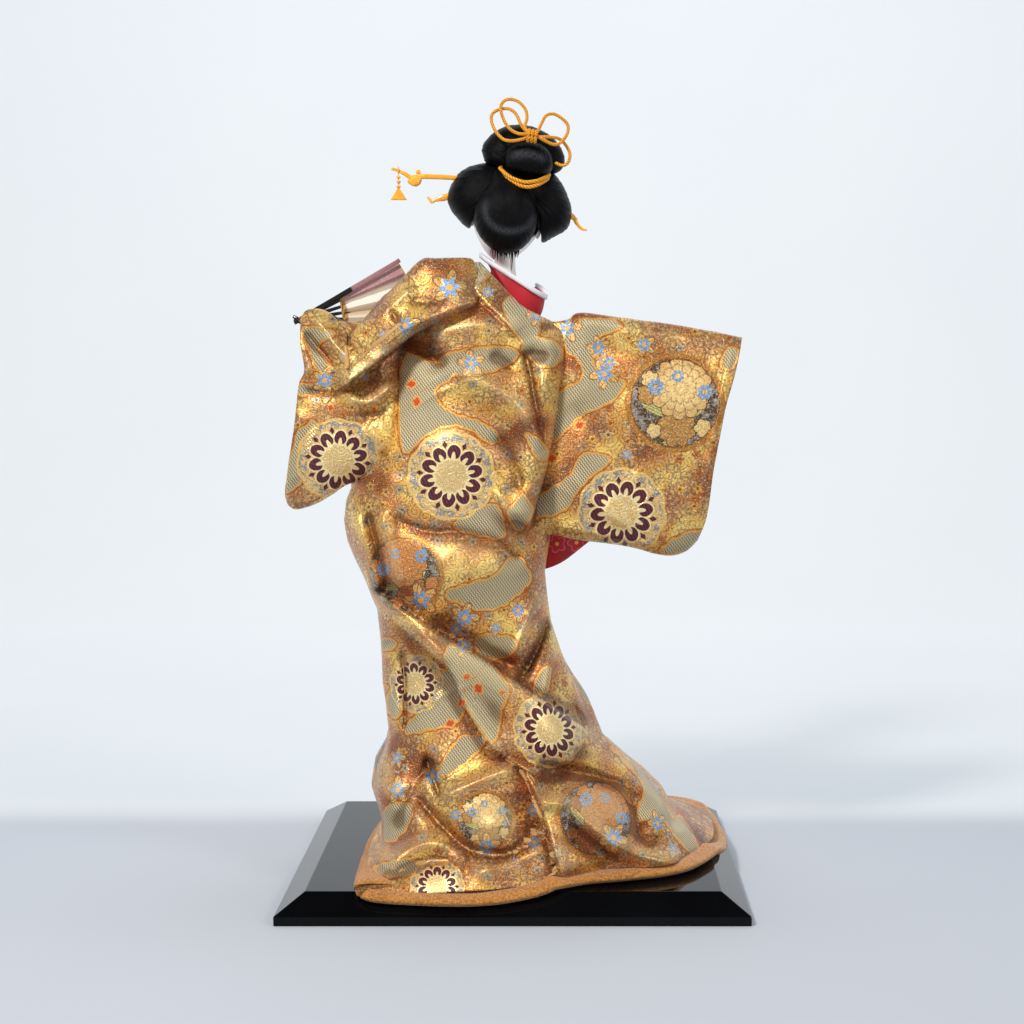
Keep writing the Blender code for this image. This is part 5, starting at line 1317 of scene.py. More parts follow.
for i_, c in enumerate(COLLAR):
    ctrl.append(far_lift(ring_pts(c, 90 + 43 + (360 - 86) * f), i_ / 3.0))
ctrl = np.array(ctrl)
u_rows = spline_rows(ctrl, np.linspace(0, len(ctrl) - 1, 181))
arcu = arc(u_rows, 1)
lowf = np.linspace(0, 1, 181)[:, None]
fold = np.sin(arcu / 0.0105 + 1.4 * vnoise(arcu / .04, lowf * 5, 41)) * 1.5 + 1.2 * vnoise(arcu / .022, lowf * 9, 42)
nu = grid_normals(u_rows)
if nu[60, 90, 1] > 0:
    nu = -nu
u_rows = u_rows + nu * (fold * 0.001 * smooth01(lowf / .04) * smooth01((0.72 - lowf) / .2) - 0.001)[..., None]
under = shell("under_robe_red", u_rows, {}, 0.0010, [RED, RED], flip=bool(grid_normals(u_rows)[60, 90, 1] > 0))
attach(under, "root")
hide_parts("inner_robe")

# the white band is folded over the top of the red collar
deg = 90 + 43 + (360 - 86) * np.linspace(0, 1, 161)
top = COLLAR[-1]


def band(grow, lift):
    p = far_lift(ring_pts(top, deg, -grow))
    p[:, 2] += lift
    return p


section = [(.0006, -.0008), (.0009, .0006), (.0010, .0020), (.0008, .0031), (.0003, .0036), (-.0004, .0036), (-.0009, .0030), (-.0011, .0018), (-.0010, .0002), (-.0008, -.0008)]
rows = np.array([band(g, l + .0006 * math.sin(i)) for i, (g, l) in enumerate(section)]).transpose(1, 0, 2)
white_parts = [tube_mesh("band", rows, [WHITE])]
for col_ in (0, -1):
    edge_ = resample(u_rows[118:, col_], 90)
    edge_[:, 1] += .0006
    w_ = np.interp(np.linspace(0, 1, 90), [0, .1, .9, 1], [.0004, .0016, .0016, .0009])
    white_parts.append(tube_mesh("edge", tube_rows(edge_, w_, .0011, 14, up=(0, 1, 0)), [WHITE]))
bpy.ops.object.select_all(action="DESELECT")
for o in white_parts:
    o.select_set(True)
bpy.context.view_layer.objects.active = white_parts[0]
bpy.ops.object.join()
white_band = bpy.context.view_layer.objects.active
white_band.name = "collar_band_white"
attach(white_band, "root")
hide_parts("collar_white")


def wadding():
    s = Shader("cotton_wrap")
    o = s.obj()
    x, y, z = s.split(o)
    turns = s.f("SINE", (z + x * 0.25) * 520.0)
    n = s.noise(o, 260.0, 3.0)
    c = s.mix(s.step(turns, -0.9, -0.5), "#B8AE9A", "#DDD5C4")
    c = s.mix(s.step(n, .5, .7) * .4, c, "#C8BEAA")
    return s.set(color=c, rough=0.9, sheen=.3, normal=s.bump(turns * .3 + n, .0008, .5))


WADDING = wadding()
deg = np.linspace(0, 360, 65)[:-1]
ctrl = np.array([ring_between(k, deg, front_back(deg, 0.0165 if k < 12 else .013, 0.026 if k < 12 else .016)) for k in (1.2, 2.6, 4.2, 6, 7.8, 9.4, 11.2, 12.6, 13.5)])
pad_rows = spline_rows(ctrl, np.linspace(0, 8, 90))
for i, k in ((0, .0), (-1, .0)):
    pad_rows[i] = pad_rows[i].mean(0) + (pad_rows[i] - pad_rows[i].mean(0)) * .86
padding = tube_mesh("body_padding", pad_rows, [WADDING])
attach(padding, "root")
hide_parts("lower_body", "torso_core")


# sash and its cord
def sash_mat():
    s = Shader("woven_sash")
    o = s.obj()
    x, y, z = s.split(o)
    a = s.f("ARCTAN2", y, x + .03)
    warp = s.f("SINE", a * 420.0)
    diam = s.f("ABSOLUTE", s.f("FRACT", a * 9.0) - .5) + s.f("ABSOLUTE", s.f("FRACT", z * 95.0) - .5)
    n = s.noise(o, 700.0, 2.0)
    c = s.mix(s.step(n, .4, .65), "#23324E", "#33466A")
    c = s.mix(s.step(diam, .34, .30), c, "#D9A94E")
    c = s.mix(s.step(diam, .20, .17), c, "#8E1B2C")
    c = s.mix(s.step(diam, .09, .07), c, "#F0D08A")
    return s.set(color=c, rough=.5, sheen=.3, normal=s.bump(warp * .4 + n, .0003, .5))


SASH = sash_mat()
deg = np.linspace(72, 456, 201)
turn_in = .0030 * np.linspace(0, 1, 201)
ctrl = np.array([ring_between(k, deg, front_back(deg, ins, .0175) + turn_in) for k, ins in ((9.70, .0062), (9.80, .0052), (10.4, .0050), (11.0, .0052), (11.1, .0062))])
s_rows = spline_rows(ctrl, np.linspace(0, 4, 41))
ns = grid_normals(s_rows)
if ns[20, 100, 1] > 0:
    ns = -ns
au = arc(s_rows, 1)
s_rows = s_rows + ns * ((0.5 * vnoise(au / .02, np.linspace(0, 3, 41)[:, None] + 0 * au, 51) - .4) * .001)[..., None]
sash = shell("obi_sash_woven", s_rows, {}, 0.0018, [SASH, SASH], flip=bool(grid_normals(s_rows)[20, 100, 1] > 0))
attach(sash, "root")
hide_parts("obi_sash")


def cord_mat():
    s = Shader("gold_twisted_cord")
    u, v, w = s.split(s.attr("tw"))
    strand = s.f("ABSOLUTE", s.f("SINE", v * 1.0))
    fibre = s.f("SINE", v * 7.0 + u * 900.0)
    o = s.obj()
    n = s.noise(o, 900.0, 2.0)
    # painted shade in the grooves between the twisted strands and a painted highlight on their tops
    c = s.ramp(strand, [(0.05, "#6A2C02"), (0.30, "#CC6A02"), (0.70, "#F39A06"), (1.0, "#FFC02E")])
    c = s.mix(s.step(fibre, .3, .9) * .2, c, "#FFC050")
    c = s.mix(s.step(n, .58, .7) * .4, c, "#A04E06")
    return s.set(color=c, rough=.40, metal=.1, normal=s.bump(fibre * .5 + strand * 2.0, .0003, .6))


CORD = cord_mat()


def twisted(name, paths, radius, pitch, node=None, slot="gold_cord", mat=None, closed=False, lobes=3, n_round=15, extra=()):
    """Twisted cords along paths, with their lay in the surface."""
    parts = []
    for path in paths:
        p = np.asarray(path, float)
        length = np.linalg.norm(np.diff(p, axis=0), axis=1).sum()
        n = max(24, int(length / (pitch / 7)))
        n = min(n, 900)
        if closed:
            p = np.concatenate((p, p[:1]))
            q = resample(p, n + 1)[:-1]
        else:
            q = resample(p, n)
        d = (np.roll(q, -1, 0) - np.roll(q, 1, 0)) if closed else np.gradient(q, axis=0)
        d /= np.linalg.norm(d, axis=1, keepdims=True)
        # frames that turn no more than the path does
        up = np.array((0.13, -0.95, 0.28))
        frames = []
        for t in d:
            up = up - t * up.dot(t)
            up /= np.linalg.norm(up)
            frames.append(up.copy())
        U = np.array(frames)
        V = np.cross(d, U)
        s = np.concatenate(([0], np.cumsum(np.linalg.norm(np.diff(q, axis=0), axis=1))))
        a = np.linspace(0, 2 * math.pi, n_round, endpoint=False)
        phase = a[None] * 1.0 - (s / pitch * 2 * math.pi / lobes * 1.0)[:, None]
        r = radius * (0.80 + 0.20 * np.abs(np.cos(phase * lobes / 2.0)) ** .8)
        if not closed:
            e = np.minimum(1, np.minimum(np.arange(n), n - 1 - np.arange(n)) / 3.0)
            r = r * (.55 + .45 * e)[:, None]
        rows = q[:, None] + U[:, None] * (np.cos(a)[None, :, None] * r[..., None]) + V[:, None] * (np.sin(a)[None, :, None] * r[..., None])
        tw = np.stack((np.broadcast_to(s[:, None], r.shape), phase * lobes / 2.0 + math.pi / 2, np.zeros(r.shape)), -1)
        parts.append((rows, tw))
    objs = []
    for i, (rows, tw) in enumerate(parts):
        if closed:
            objs.append(tube_mesh(name + str(i), rows, [mat or CORD], closed=True, attrs={"tw": tw.reshape(-1, 3)}))
        else:
            objs.append(tube_mesh(name + str(i), rows, [mat or CORD], attrs={"tw": tw}))
    return joined(name, objs + list(extra))


def joined(name, objs):
    bpy.ops.object.select_all(action="DESELECT")
    for o in objs:
        o.select_set(True)
    bpy.context.view_layer.objects.active = objs[0]
    if len(objs) > 1:
        bpy.ops.object.join()
    o = bpy.context.view_layer.objects.active
    o.name = name
    o.data.name = name
    fix_normals(o)
    return o


def ellipsoid(name, centre, radii, mats, seg=32, rings=20, rot=None, shape=None, attrs_of=None):
    """Dense ball; shape(unit directions) gives a factor on the radius."""
    th = np.linspace(0, math.pi, rings + 1)[1:-1]
    ph = np.linspace(0, 2 * math.pi, seg, endpoint=False)
    d = np.stack((np.sin(th)[:, None] * np.cos(ph), np.sin(th)[:, None] * np.sin(ph), np.cos(th)[:, None] * np.ones(seg)), -1)
    d = np.concatenate(([[0, 0, 1.0]], d.reshape(-1, 3), [[0, 0, -1.0]]))
    r = shape(d) if shape else 1.0
    p = d * np.asarray(radii) * (r[:, None] if shape else 1.0)
    if rot is not None:
        p = p @ np.array(rot.to_3x3()).T
    p = p + np.asarray(centre)
    k = rings - 1
    f = grid_faces(k, seg, True, 1)
    j = np.arange(seg)
    c1 = np.stack((np.zeros(seg, int), 1 + j, 1 + (j + 1) % seg), -1)
    last = 1 + (k - 1) * seg
    c2 = np.stack((np.full(seg, 1 + k * seg), last + (j + 1) % seg, last + j), -1)
    o = mesh_from(name, p, [f, c1, c2], mats, attrs=attrs_of(d) if attrs_of else None)
    fix_normals(o)
    return o


deg = np.linspace(90, 450, 260)[:-1]
ring = ring_between(10.4, deg, front_back(deg, .0030, .0150))
front_c = ring[0]
tie = [np.array([front_c + np.array((dx_ + .0004 * math.sin(a), .0008 + .0022 * math.cos(a), .0034 * math.sin(a))) for a in np.linspace(0, 2 * math.pi, 25)[:-1]])
       for dx_ in (-.0026, 0, .0026)]
obi_cord = twisted("obi_cord_twisted", [ring] + tie, .0015, .0036, closed=True)
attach(obi_cord, "root")
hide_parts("obi_cord")

# ---------------------------------------------------------------- the red sleeve that hangs behind the brocade one
patch = coons([(548, 500), (570, 506), (592, 516)], [(543.6, 569.5), (553, 566.5), (564, 561), (576, 552), (591, 540)],
              [(548, 500), (546, 535), (543.6, 569.5)], [(592, 516), (592, 528), (591, 540)], 61, 61)
t = np.linspace(0, 1, 61)[:, None] * np.ones((1, 61))
s_ = np.linspace(0, 1, 61)[None, :] * np.ones((61, 1))
rnd_n = (1 - np.abs(2 * t - 1) ** 3) ** .6
wave = .0010 * np.sin(s_ * 9 + t * 2)
near_r = unpix(patch, .0010 - .0040 * rnd_n + wave)
far_r = unpix(patch[::-1][1:-1], (.0010 + .0040 * rnd_n + wave)[1:-1])
rows = np.concatenate((near_r, far_r)).transpose(1, 0, 2)
red_hang = tube_mesh("under_sleeve_right_red", rows, [RED])
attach(red_hang, "root")
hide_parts("inner_sleeve_right")


def cuff(name, path, radii, node, seed):
    path = resample(path, 40)
    r = np.interp(np.linspace(0, 1, 40), np.linspace(0, 1, len(radii)), radii)
    rows = tube_rows(path, r, r, 72, up=(0, 1, 0.1))
    c = path[:, None]
    a = np.linspace(0, 2 * math.pi, 72, endpoint=False)[None]
    k = 1 + (.07 * np.sin(a * 9 + seed) + .04 * np.sin(a * 5 - seed)) * np.linspace(.3, 1, 40)[:, None]
    rows = c + (rows - c) * k[..., None]
    N = grid_normals(rows, True)
    o = shell(name, rows, {}, .0008, [RED, RED], wrap=True, flip=bool((N[20] * (rows[20] - path[20])).sum() < 0))
    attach(o, "root")
    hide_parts(node)
    return o


arm_l = [(-.0450, -.006, .4170), (-.0750, -.0290, .4080), (-.1020, -.0300, .3900), (-.1200, -.0260, .3850), (-.1350, -.0180, .3900), (-.1440, -.0090, .3980)]
arm_r = [(.0080, -.004, .3840), (.0450, -.0270, .3920), (.0800, -.0270, .3890), (.1150, -.0220, .3860), (.1420, -.0190, .3860)]
cuff_l = cuff("under_cuff_left", resample(arm_l, 60)[36:57], [.0078, .0084, .0092, .0102], "inner_cuff_left", 1)
cuff_r = cuff("under_cuff_right", resample(arm_r, 60)[38:60], [.0078, .0086, .0094, .0102], "inner_cuff_right", 2)

for n_, path, y_in in (("arm_left", arm_l, .013), ("arm_right", arm_r, .006)):
    pth = resample(path, 40)[:34]
    pth = pth + np.array((0, y_in, -.004)) * np.sin(np.linspace(0, math.pi, 34))[:, None]
    rr = .0050 + .0003 * np.sin(np.arange(34) * 1.9)
    arm = tube_mesh(n_ + "_padding", tube_rows(pth, rr, rr, 24, up=(0, 1, .1)), [WADDING])
    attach(arm, "root")
    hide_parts(n_)

# ---------------------------------------------------------------- head
HEAD = np.array((-.0073, .0150, .4935))
TILT = Matrix.Rotation(math.radians(11), 3, "Y")
RT = np.array(TILT)
HW, HD, HH = .0258, .0290, .0325


def in_head(p):
    return HEAD + np.asarray(p, float) @ RT.T


def skin():
    s = Shader("white_painted_skin")
    x, y, z = s.split(s.attr("hd"))
    o = s.obj()
    n = s.noise(o, 60.0, 2.0)
    c = s.mix(s.lerp(n, .3, .7, 0, 1), "#ECE6E0", "#F6F2EE")
    front = s.step(y, 0.2, 0.5)
    # cheeks
    ax = s.f("ABSOLUTE", x)
    cheek = s.step(((ax - .44) / .26) * ((ax - .44) / .26) + ((z + .38) / .22) * ((z + .38) / .22), 1.0, .0)
    c = s.mix(cheek * front * .30, c, "#E8A49C")
    # brows, high and soft
    bz = z - (.20 - (ax - .36) * (ax - .36) * 1.1)
    brow = s.step(s.f("ABSOLUTE", bz), .036, .010) * s.step(s.f("ABSOLUTE", ax - .36), .19, .12)
    c = s.mix(brow * front * .75, c, "#4A4040")
    # eyes: iris, white, a painted reflection and lid lines
    ex, ez = ax - .36, z + .045 - (ax - .36) * .16
    lidtop = .078 - ex * ex * 2.1
    lidbot = -.040 + ex * ex * 1.1
    open_ = s.step(ez - lidbot, .0, .012) * s.step(lidtop - ez, .0, .012) * s.step(s.f("ABSOLUTE", ex), .185, .17)
    c = s.mix(open_ * front, c, "#F4F4F2")
    ir = s.f("SQRT", ex * ex + (ez - .02) * (ez - .02) * 1.1)
    c = s.mix(open_ * front * s.step(ir, .080, .068), c, "#2A1810")
    c = s.mix(open_ * front * s.step(ir, .040, .032), c, "#050404")
    # a painted reflection: a small white glint on each eye
    gl = s.step((ex + .02) * (ex + .02) + (ez - .045) * (ez - .045), .00035, .00015)
    c = s.mix(open_ * front * gl, c, "#FFFFFF")
    lid = s.step(s.f("ABSOLUTE", ez - lidtop), .018, .007) * s.step(s.f("ABSOLUTE", ex), .205, .17)
    c = s.mix(lid * front, c, "#120C0C")
    lid2 = s.step(s.f("ABSOLUTE", ez - lidbot), .010, .003) * s.step(s.f("ABSOLUTE", ex), .18, .15)
    c = s.mix(lid2 * front * .5, c, "#6A4440")
    # small lips
    lz = z + .625
    up = .046 - ax * ax * 2.6 + s.f("ABSOLUTE", ax - .055) * -.10
    lo = -.058 + ax * ax * 3.0
    lips = s.step(up - lz, .0, .012) * s.step(lz - lo, .0, .012) * front
    c = s.mix(lips, c, "#C2202A")
    c = s.mix(s.step(s.f("ABSOLUTE", lz + .004), .010, .003) * s.step(ax, .13, .11) * front * .8, c, "#6E0E16")
    return s.set(color=c, rough=.38, spec=.4, normal=s.bump(s.noise(o, 500.0, 2.0), .0001, .3))


SKIN = skin()


def head_shape(d):
    x, y, z = d[:, 0], d[:, 1], d[:, 2]
    lowz = np.maximum(0, -z)
    fr = smooth01((y + .15) / .5)
    w = HW * (1 - .30 * lowz ** 1.5)
    dd = HD * (1 - .20 * lowz * (1 - np.maximum(0, y)))
    ax = np.abs(x)
    g = lambda a, b: np.exp(-(a / b) ** 2)
    nose = .0046 * g(x, .085 + .05 * smooth01((-.18 - z) / .2)) * g(np.where(z > -.30, (z + .30) * .62, (z + .30) * 1.9), .14)
    bridge = .0012 * g(x, .08) * g(z + .02, .16)
    sock = -.0011 * g(ax - .36, .20) * g(z + .02, .13)
    lid = .0007 * g(ax - .36, .15) * g(z + .06, .06)
    lips = .0013 * g(x, .15) * (g(z + .585, .05) * .9 + g(z + .675, .05)) - .0007 * g(x, .13) * g(z + .63, .025)
    philt = -.0004 * g(x, .04) * g(z + .50, .06)
    chin = .0024 * g(x, .26) * g(z + .90, .14) - .0008 * g(x, .25) * g(z + .76, .05)
    cheek = .0010 * g(ax - .50, .25) * g(z + .35, .25)
    brow = .0006 * g(ax - .3, .25) * g(z - .15, .12)
    add = (nose + bridge + sock + lid + lips + philt + chin + cheek + brow) * fr
    return np.stack((x * w, y * dd + add, z * HH), -1)


seg, rings = 200, 150
th = np.linspace(0, math.pi, rings + 1)[1:-1]
ph = np.linspace(0, 2 * math.pi, seg, endpoint=False)
ph = ph + .35 * np.sin(2 * (ph - math.pi / 2) + math.pi) * .5
d_ = np.stack((np.sin(th)[:, None] * np.cos(ph), np.sin(th)[:, None] * np.sin(ph), np.cos(th)[:, None] * np.ones(seg)), -1)
d_ = np.concatenate(([[0, 0, 1.0]], d_.reshape(-1, 3), [[0, 0, -1.0]]))
p_ = in_head(head_shape(d_))
k_ = rings - 1
f_ = grid_faces(k_, seg, True, 1)
j_ = np.arange(seg)
skull = mesh_from("skull", p_, [f_, np.stack((np.zeros(seg, int), 1 + j_, 1 + (j_ + 1) % seg), -1),
                               np.stack((np.full(seg, 1 + k_ * seg), 1 + (k_ - 1) * seg + (j_ + 1) % seg, 1 + (k_ - 1) * seg + j_), -1)],
                  [SKIN], attrs={"hd": d_})
neck_top, neck_low = in_head((0, -.006, -.012)), np.array((-.0062, .0005, .4040))
nf = np.array([0, .25, .42, .56, .70, .86, 1.0])
nr = np.array([.0078, .0078, .0080, .0088, .0104, .0114, .0112])
n_path = neck_top + (neck_low - neck_top) * np.linspace(0, 1, 60)[:, None]
n_path[:, 1] += -.0012 * np.sin(np.linspace(0, math.pi, 60))
neck_rows = tube_rows(n_path, np.interp(np.linspace(0, 1, 60), nf, nr), np.interp(np.linspace(0, 1, 60), nf, nr) * 1.06, 48, up=(0, 1, 0))
neck = tube_mesh("neck", neck_rows, [SKIN], attrs={"hd": np.zeros(neck_rows.shape)})
ears = []
for sx in (-1, 1):
    def ear(d):
        return 1 - .35 * np.exp(-((d[:, 0] * sx - .8) / .35) ** 2) * np.exp(-((d[:, 1]) / .4) ** 2)
    ears.append(ellipsoid("ear", in_head((sx * .0252, -.001, -.004)), (.0022, .0040, .0062), [SKIN], 28, 20, TILT, ear,
                          lambda d: {"hd": np.zeros(d.shape)}))
head = joined("head_and_neck", [skull, neck] + ears)
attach(head, "root")
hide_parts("head")


# ---------------------------------------------------------------- hair
def hair_mat(name="black_hair", gloss=.36):
    s = Shader(name)
    a, b, _ = s.split(s.attr("st"))
    st = s.noise(s.xyz(a * 1.0, b * 0.10, 0.0), 3.2, 3.0, .65)
    fine = s.noise(s.xyz(a * 1.0, b * 0.05, 4.0), 9.0, 2.0, .6)
    c = s.mix(s.step(st, .42, .68), "#010102", "#08080B")
    c = s.mix(s.step(fine, .60, .72) * .25, c, "#1A1B20")
    # painted highlight: a grey band laid into the hair's colour where light would catch the strands
    painted_highlight = s.attr_f("painted_highlight")
    c = s.mix(painted_highlight * s.lerp(fine, .40, .62, .12, .95), c, "#4C4E54")
    rough = s.lerp(st, .3, .7, gloss - .06, gloss + .14)
    return s.set(color=c, rough=rough, spec=.10, normal=s.bump(st * .6 + fine * .6, .0006, .75))


HAIR = hair_mat()


def inflate(name, outline, centre, y0, dn, df, apex, mats, n_t=180, n_r=38, power=2.0, lean=0.0, grooves=.00028, seed=1, dish=0.0, painted_highlight=None):
    """A full form whose silhouette is the outline, with hair strands that run out from the apex."""
    o = resample(outline + outline[:1], n_t + 1)[:-1]
    c = np.asarray(centre, float)
    rho = np.sin(np.linspace(0, math.pi / 2, n_r + 1))[1:]
    near, far = [], []
    for r in rho:
        xy = c + (o - c) * r
        prof = (1 - r ** power) ** (1 / 2.0) if r < 1 else 0.0
        near.append((xy, -dn * prof + (dish * math.exp(-(r / .45) ** 2))))
        if r < 1:
            far.append((xy, df * prof))
    rows = near + far[::-1]
    XY = np.array([a for a, b in rows])
    D = np.array([b for a, b in rows])[:, None] * np.ones((1, n_t))
    Y = y0 + D + lean * (XY[..., 0] - c[0]) * PX
    P = unpix(XY, y0 + lean * (XY[..., 0] - c[0]) * PX)
    P = along_ray(P, D)
    ax = np.arctan2(XY[..., 0] - apex[0], XY[..., 1] - apex[1])
    rad = np.hypot(XY[..., 0] - apex[0], XY[..., 1] - apex[1]) * PX * 1000
    side = np.where(D > 0, 1.7, 0.0)
    st = np.stack((ax * 14.0 + side, rad + side * 3, np.zeros(ax.shape)), -1)
    g = vnoise(ax * 26 + side, rad * .05, seed) + .6 * vnoise(ax * 55 + side, rad * .08, seed + 1)
    N = grid_normals(P, True)
    cen = P.reshape(-1, 3).mean(0)
    if ((P - cen) * N).sum(-1).mean() < 0:
        N = -N
    P = P + N * (g * grooves * smooth01(rad / 6.0))[..., None]
    verts = np.concatenate((P.reshape(-1, 3), [along_ray(unpix(c, y0), np.array(-dn + dish)), along_ray(unpix(c, y0), np.array(df))]))
    k = P.shape[0] * n_t
    j = np.arange(n_t)
    cap1 = np.stack((np.full(n_t, k), j, (j + 1) % n_t), -1)
    last = (P.shape[0] - 1) * n_t
    cap2 = np.stack((np.full(n_t, k + 1), last + (j + 1) % n_t, last + j), -1)
    att = np.concatenate((st.reshape(-1, 3), [st[0, 0], st[-1, 0]]))
    # the painted highlight goes only on the near side of the form
    gl_ = np.zeros(XY.shape[:2]) if painted_highlight is None else painted_highlight(XY[..., 0], XY[..., 1]) * (D < 0)
    ob = mesh_from(name, verts, [grid_faces(P.shape[0], n_t, True), cap1, cap2], mats,
                   attrs={"st": att, "painted_highlight": np.concatenate((gl_.ravel(), [0, 0]))})
    fix_normals(ob)
    return ob


def painted_highlight_line(line, width, amount):
    """A painted highlight along a line, on the band where the hair strands turn over."""
    ln = resample(line, 40)

    def g(px, py):
        d, _, t, _ = near_line(px, py, ln)
        return amount * np.exp(-(d / width) ** 2) * smooth01(t / .15) * smooth01((1 - t) / .15)
    return g


def hair_piece(o, *nodes):
    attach(o, "root")
    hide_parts(*nodes)
    return o


bun = inflate("hair_rear_bun", [(507, 178), (518, 182), (528, 192), (535, 206), (537, 220), (533, 235), (524, 247), (512, 252.6), (500, 252.4),
                               (488, 246), (479, 235), (474.5, 221), (476, 206), (484, 192), (495, 182)],
              (507, 217), -.0125, .0200, .020, (508, 181), [HAIR], dish=.0020, seed=3, painted_highlight=painted_highlight_line([(489, 196), (485, 206), (486, 216), (492, 225), (503, 230.5),
              (515, 231), (526, 227.5), (533, 219), (535, 210)], 3.4, .8))
hair_piece(bun, "hair_bun_rear")
wing_l = inflate("hair_wing_left_rolled", [(470, 166), (488, 163), (505, 168), (512, 190), (506, 215), (490, 226), (478, 222), (473, 220), (469, 228.5), (458, 219),
                                    (450, 208), (447.6, 198), (450.5, 187), (458, 174)], (482, 195), .0150, .0240, .0270, (512, 172), [HAIR], seed=5, power=2.4)
hair_piece(wing_l, "hair_wing_left")
wing_r = inflate("hair_wing_right_rolled", [(520, 168), (538, 168), (553, 173), (562, 184), (568, 196), (571.5, 210), (570, 222), (566, 230), (554, 237),
                                     (542.5, 242.5), (541, 234), (538, 231), (528, 232), (512, 220), (506, 196)], (540, 202), .0150, .0240, .0270, (512, 172), [HAIR], seed=7, power=2.4)
hair_piece(wing_r, "hair_wing_right")
topknot = inflate("hair_topknot_puff", [(481.4, 151), (484, 143), (492, 134), (504, 127), (516.5, 124.5), (532, 126.5), (548, 134), (559, 145), (564, 155),
                                   (564.4, 163), (561, 170), (553, 173.8), (540, 172), (515, 171), (497, 169), (486, 163)], (522, 150), .0120, .0190, .0190, (523, 172), [HAIR], seed=9, power=2.6)
hair_piece(topknot, "hair_topknot")
roll = inflate("hair_topknot_front_roll", [(504, 158), (506, 149), (514, 142.5), (527, 140.5), (541, 144), (550, 152), (553, 162), (551, 171), (543, 177.5), (530, 179.5),
                                     (515, 175.5), (506.5, 168)], (528.5, 160), -.0030, .0165, .0130, (526, 60), [HAIR], seed=11, power=3.2, grooves=.0002,
               painted_highlight=painted_highlight_line([(508, 160), (516, 156), (528, 154.5), (540, 157), (548, 162)], 3.8, .55))
hair_piece(roll, "hair_topknot_roll")


def head_ball(name, centre, radii, node, seed, cut_face=False):
    def shp(d):
        a = np.arctan2(d[:, 0], d[:, 1] + 1e-6)
        return 1 + .012 * vnoise(a * 22, d[:, 2] * 1.2, seed) + .008 * vnoise(a * 48, d[:, 2] * 2, seed + 1)

    def att(d):
        a = np.arctan2(d[:, 0], d[:, 1] + 1e-6)
        return {"st": np.stack((a * 14, d[:, 2] * 20, d[:, 2] * 0), -1)}
    o = ellipsoid(name, in_head(centre), radii, [HAIR], 150, 76, TILT, shp, att)
    return hair_piece(o, node)


cap = head_ball("hair_crown", (.0003, -.0030, .0095), (.0270, .0300, .0340), "hair_cap", 13)
front_roll = head_ball("hair_front_roll", (.0005, .0180, .0325), (.0270, .0175, .0140), "hair_front", 15)

# strands at the nape
rnd = random.Random(4)
objs = []
for i in range(46):
    t = i / 45
    x0 = 492 + 27 * t
    y0 = 247 + 3.0 * math.sin(t * math.pi)
    long_ = {33: 23, 34: 25, 35: 20, 8: 15, 9: 12, 5: 11}.get(i, rnd.uniform(5, 11))
    x1 = x0 + rnd.uniform(-1.6, 1.2) - (1.5 if i in (33, 34, 35) else 0)
    pts = [unpix((x0, y0), -.0120), unpix(((x0 + x1) / 2 + rnd.uniform(-.6, .6), y0 + long_ * .5), -.0118), unpix((x1, y0 + long_), -.0095)]
    path = resample(pts, 9)
    r = np.linspace(.00050, .00008, 9)
    objs.append(tube_mesh("s%d" % i, tube_rows(path, r, r, 5, up=(0, 1, 0)), [HAIR], attrs={"st": np.zeros((9, 5, 3)) + rnd.random()}))
nape = joined("hair_nape_strands", objs)
hair_piece(nape, "nape_tuft")

# ---------------------------------------------------------------- cords on the hair
def img_path(pts, ys):
    ys = np.interp(np.linspace(0, 1, len(pts)), np.linspace(0, 1, len(ys)), ys)
    return np.array([unpix(p, y) for p, y in zip(pts, ys)])


loops = [
    img_path([(531, 136), (521, 139.5), (511, 140.8), (503, 139), (495.5, 131), (491.6, 121.5), (492.3, 114), (499, 109.6), (509, 108.9), (516, 114), (520.5, 123.5), (526, 131), (530, 134)],
             [-.0215, -.0220, -.0150, -.0120, -.0150, -.0215]),
    img_path([(530, 134), (518, 133.5), (509, 128), (503, 118), (500.7, 108), (503.5, 101.5), (510.5, 99.2), (519, 102), (525.5, 109.5), (527, 118), (525, 127), (529, 133)],
             [-.0225, -.0190, -.0150, -.0140, -.0170, -.0220]),
    img_path([(534, 134), (538, 131), (541.5, 123.5), (546.3, 115.6), (554, 114), (562.4, 118.8), (567.8, 125), (567.3, 133.5), (561, 142.3), (554, 144.5), (545.5, 141), (537, 136)],
             [-.0220, -.0170, -.0130, -.0130, -.0190, -.0225]),
    img_path([(535, 136), (543, 137), (551, 137.2), (559.6, 139), (566.4, 146), (570, 154.5), (568, 162.5), (562.4, 165.6), (555, 162.6)],
             [-.0215, -.0180, -.0110, -.0100, -.0090])]
knot_c = unpix((532, 135.5), -.0225)
knot_loops = []
for i, (dx_, a0) in enumerate(((-2.6, .2), (0.2, -.1), (2.8, .15))):
    c0 = unpix((532 + dx_ * 1.3, 136 + dx_ * .25), -.0215)
    knot_loops.append(np.array([c0 + np.array((.0006 * math.sin(a + a0), -.0034 * math.cos(a), .0040 * math.sin(a))) for a in np.linspace(0, 2 * math.pi, 24)]))
bow = twisted("bow_cord_twisted", loops + knot_loops, .00125, .0021)
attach(bow, "root")
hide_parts("bow_cord")
wind = []
for pts, lift in (([(500, 168), (506.7, 174.5), (514.7, 179.2), (524.5, 182), (534.3, 181.4), (541, 179.4), (549, 175)], 0), ([(502, 171), (509.2, 179.0), (517.5, 184.4), (526, 186.9), (534, 186.0), (541, 183.2), (548, 178)], 0)):
    frontp = img_path(pts, [-.0040, -.0190, -.0215, -.0215, -.0190, -.0040])
    a_, b_ = frontp[-1], frontp[0]
    back = [a_ + (b_ - a_) * t_ + np.array((0, .032 * math.sin(math.pi * t_), .002)) for t_ in np.linspace(.12, .88, 8)]
    wind.append(np.concatenate((frontp, back)))
winding = twisted("cord_winding_twisted", wind, .00150, .0024, closed=True)
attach(winding, "root")
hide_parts("cord_winding")


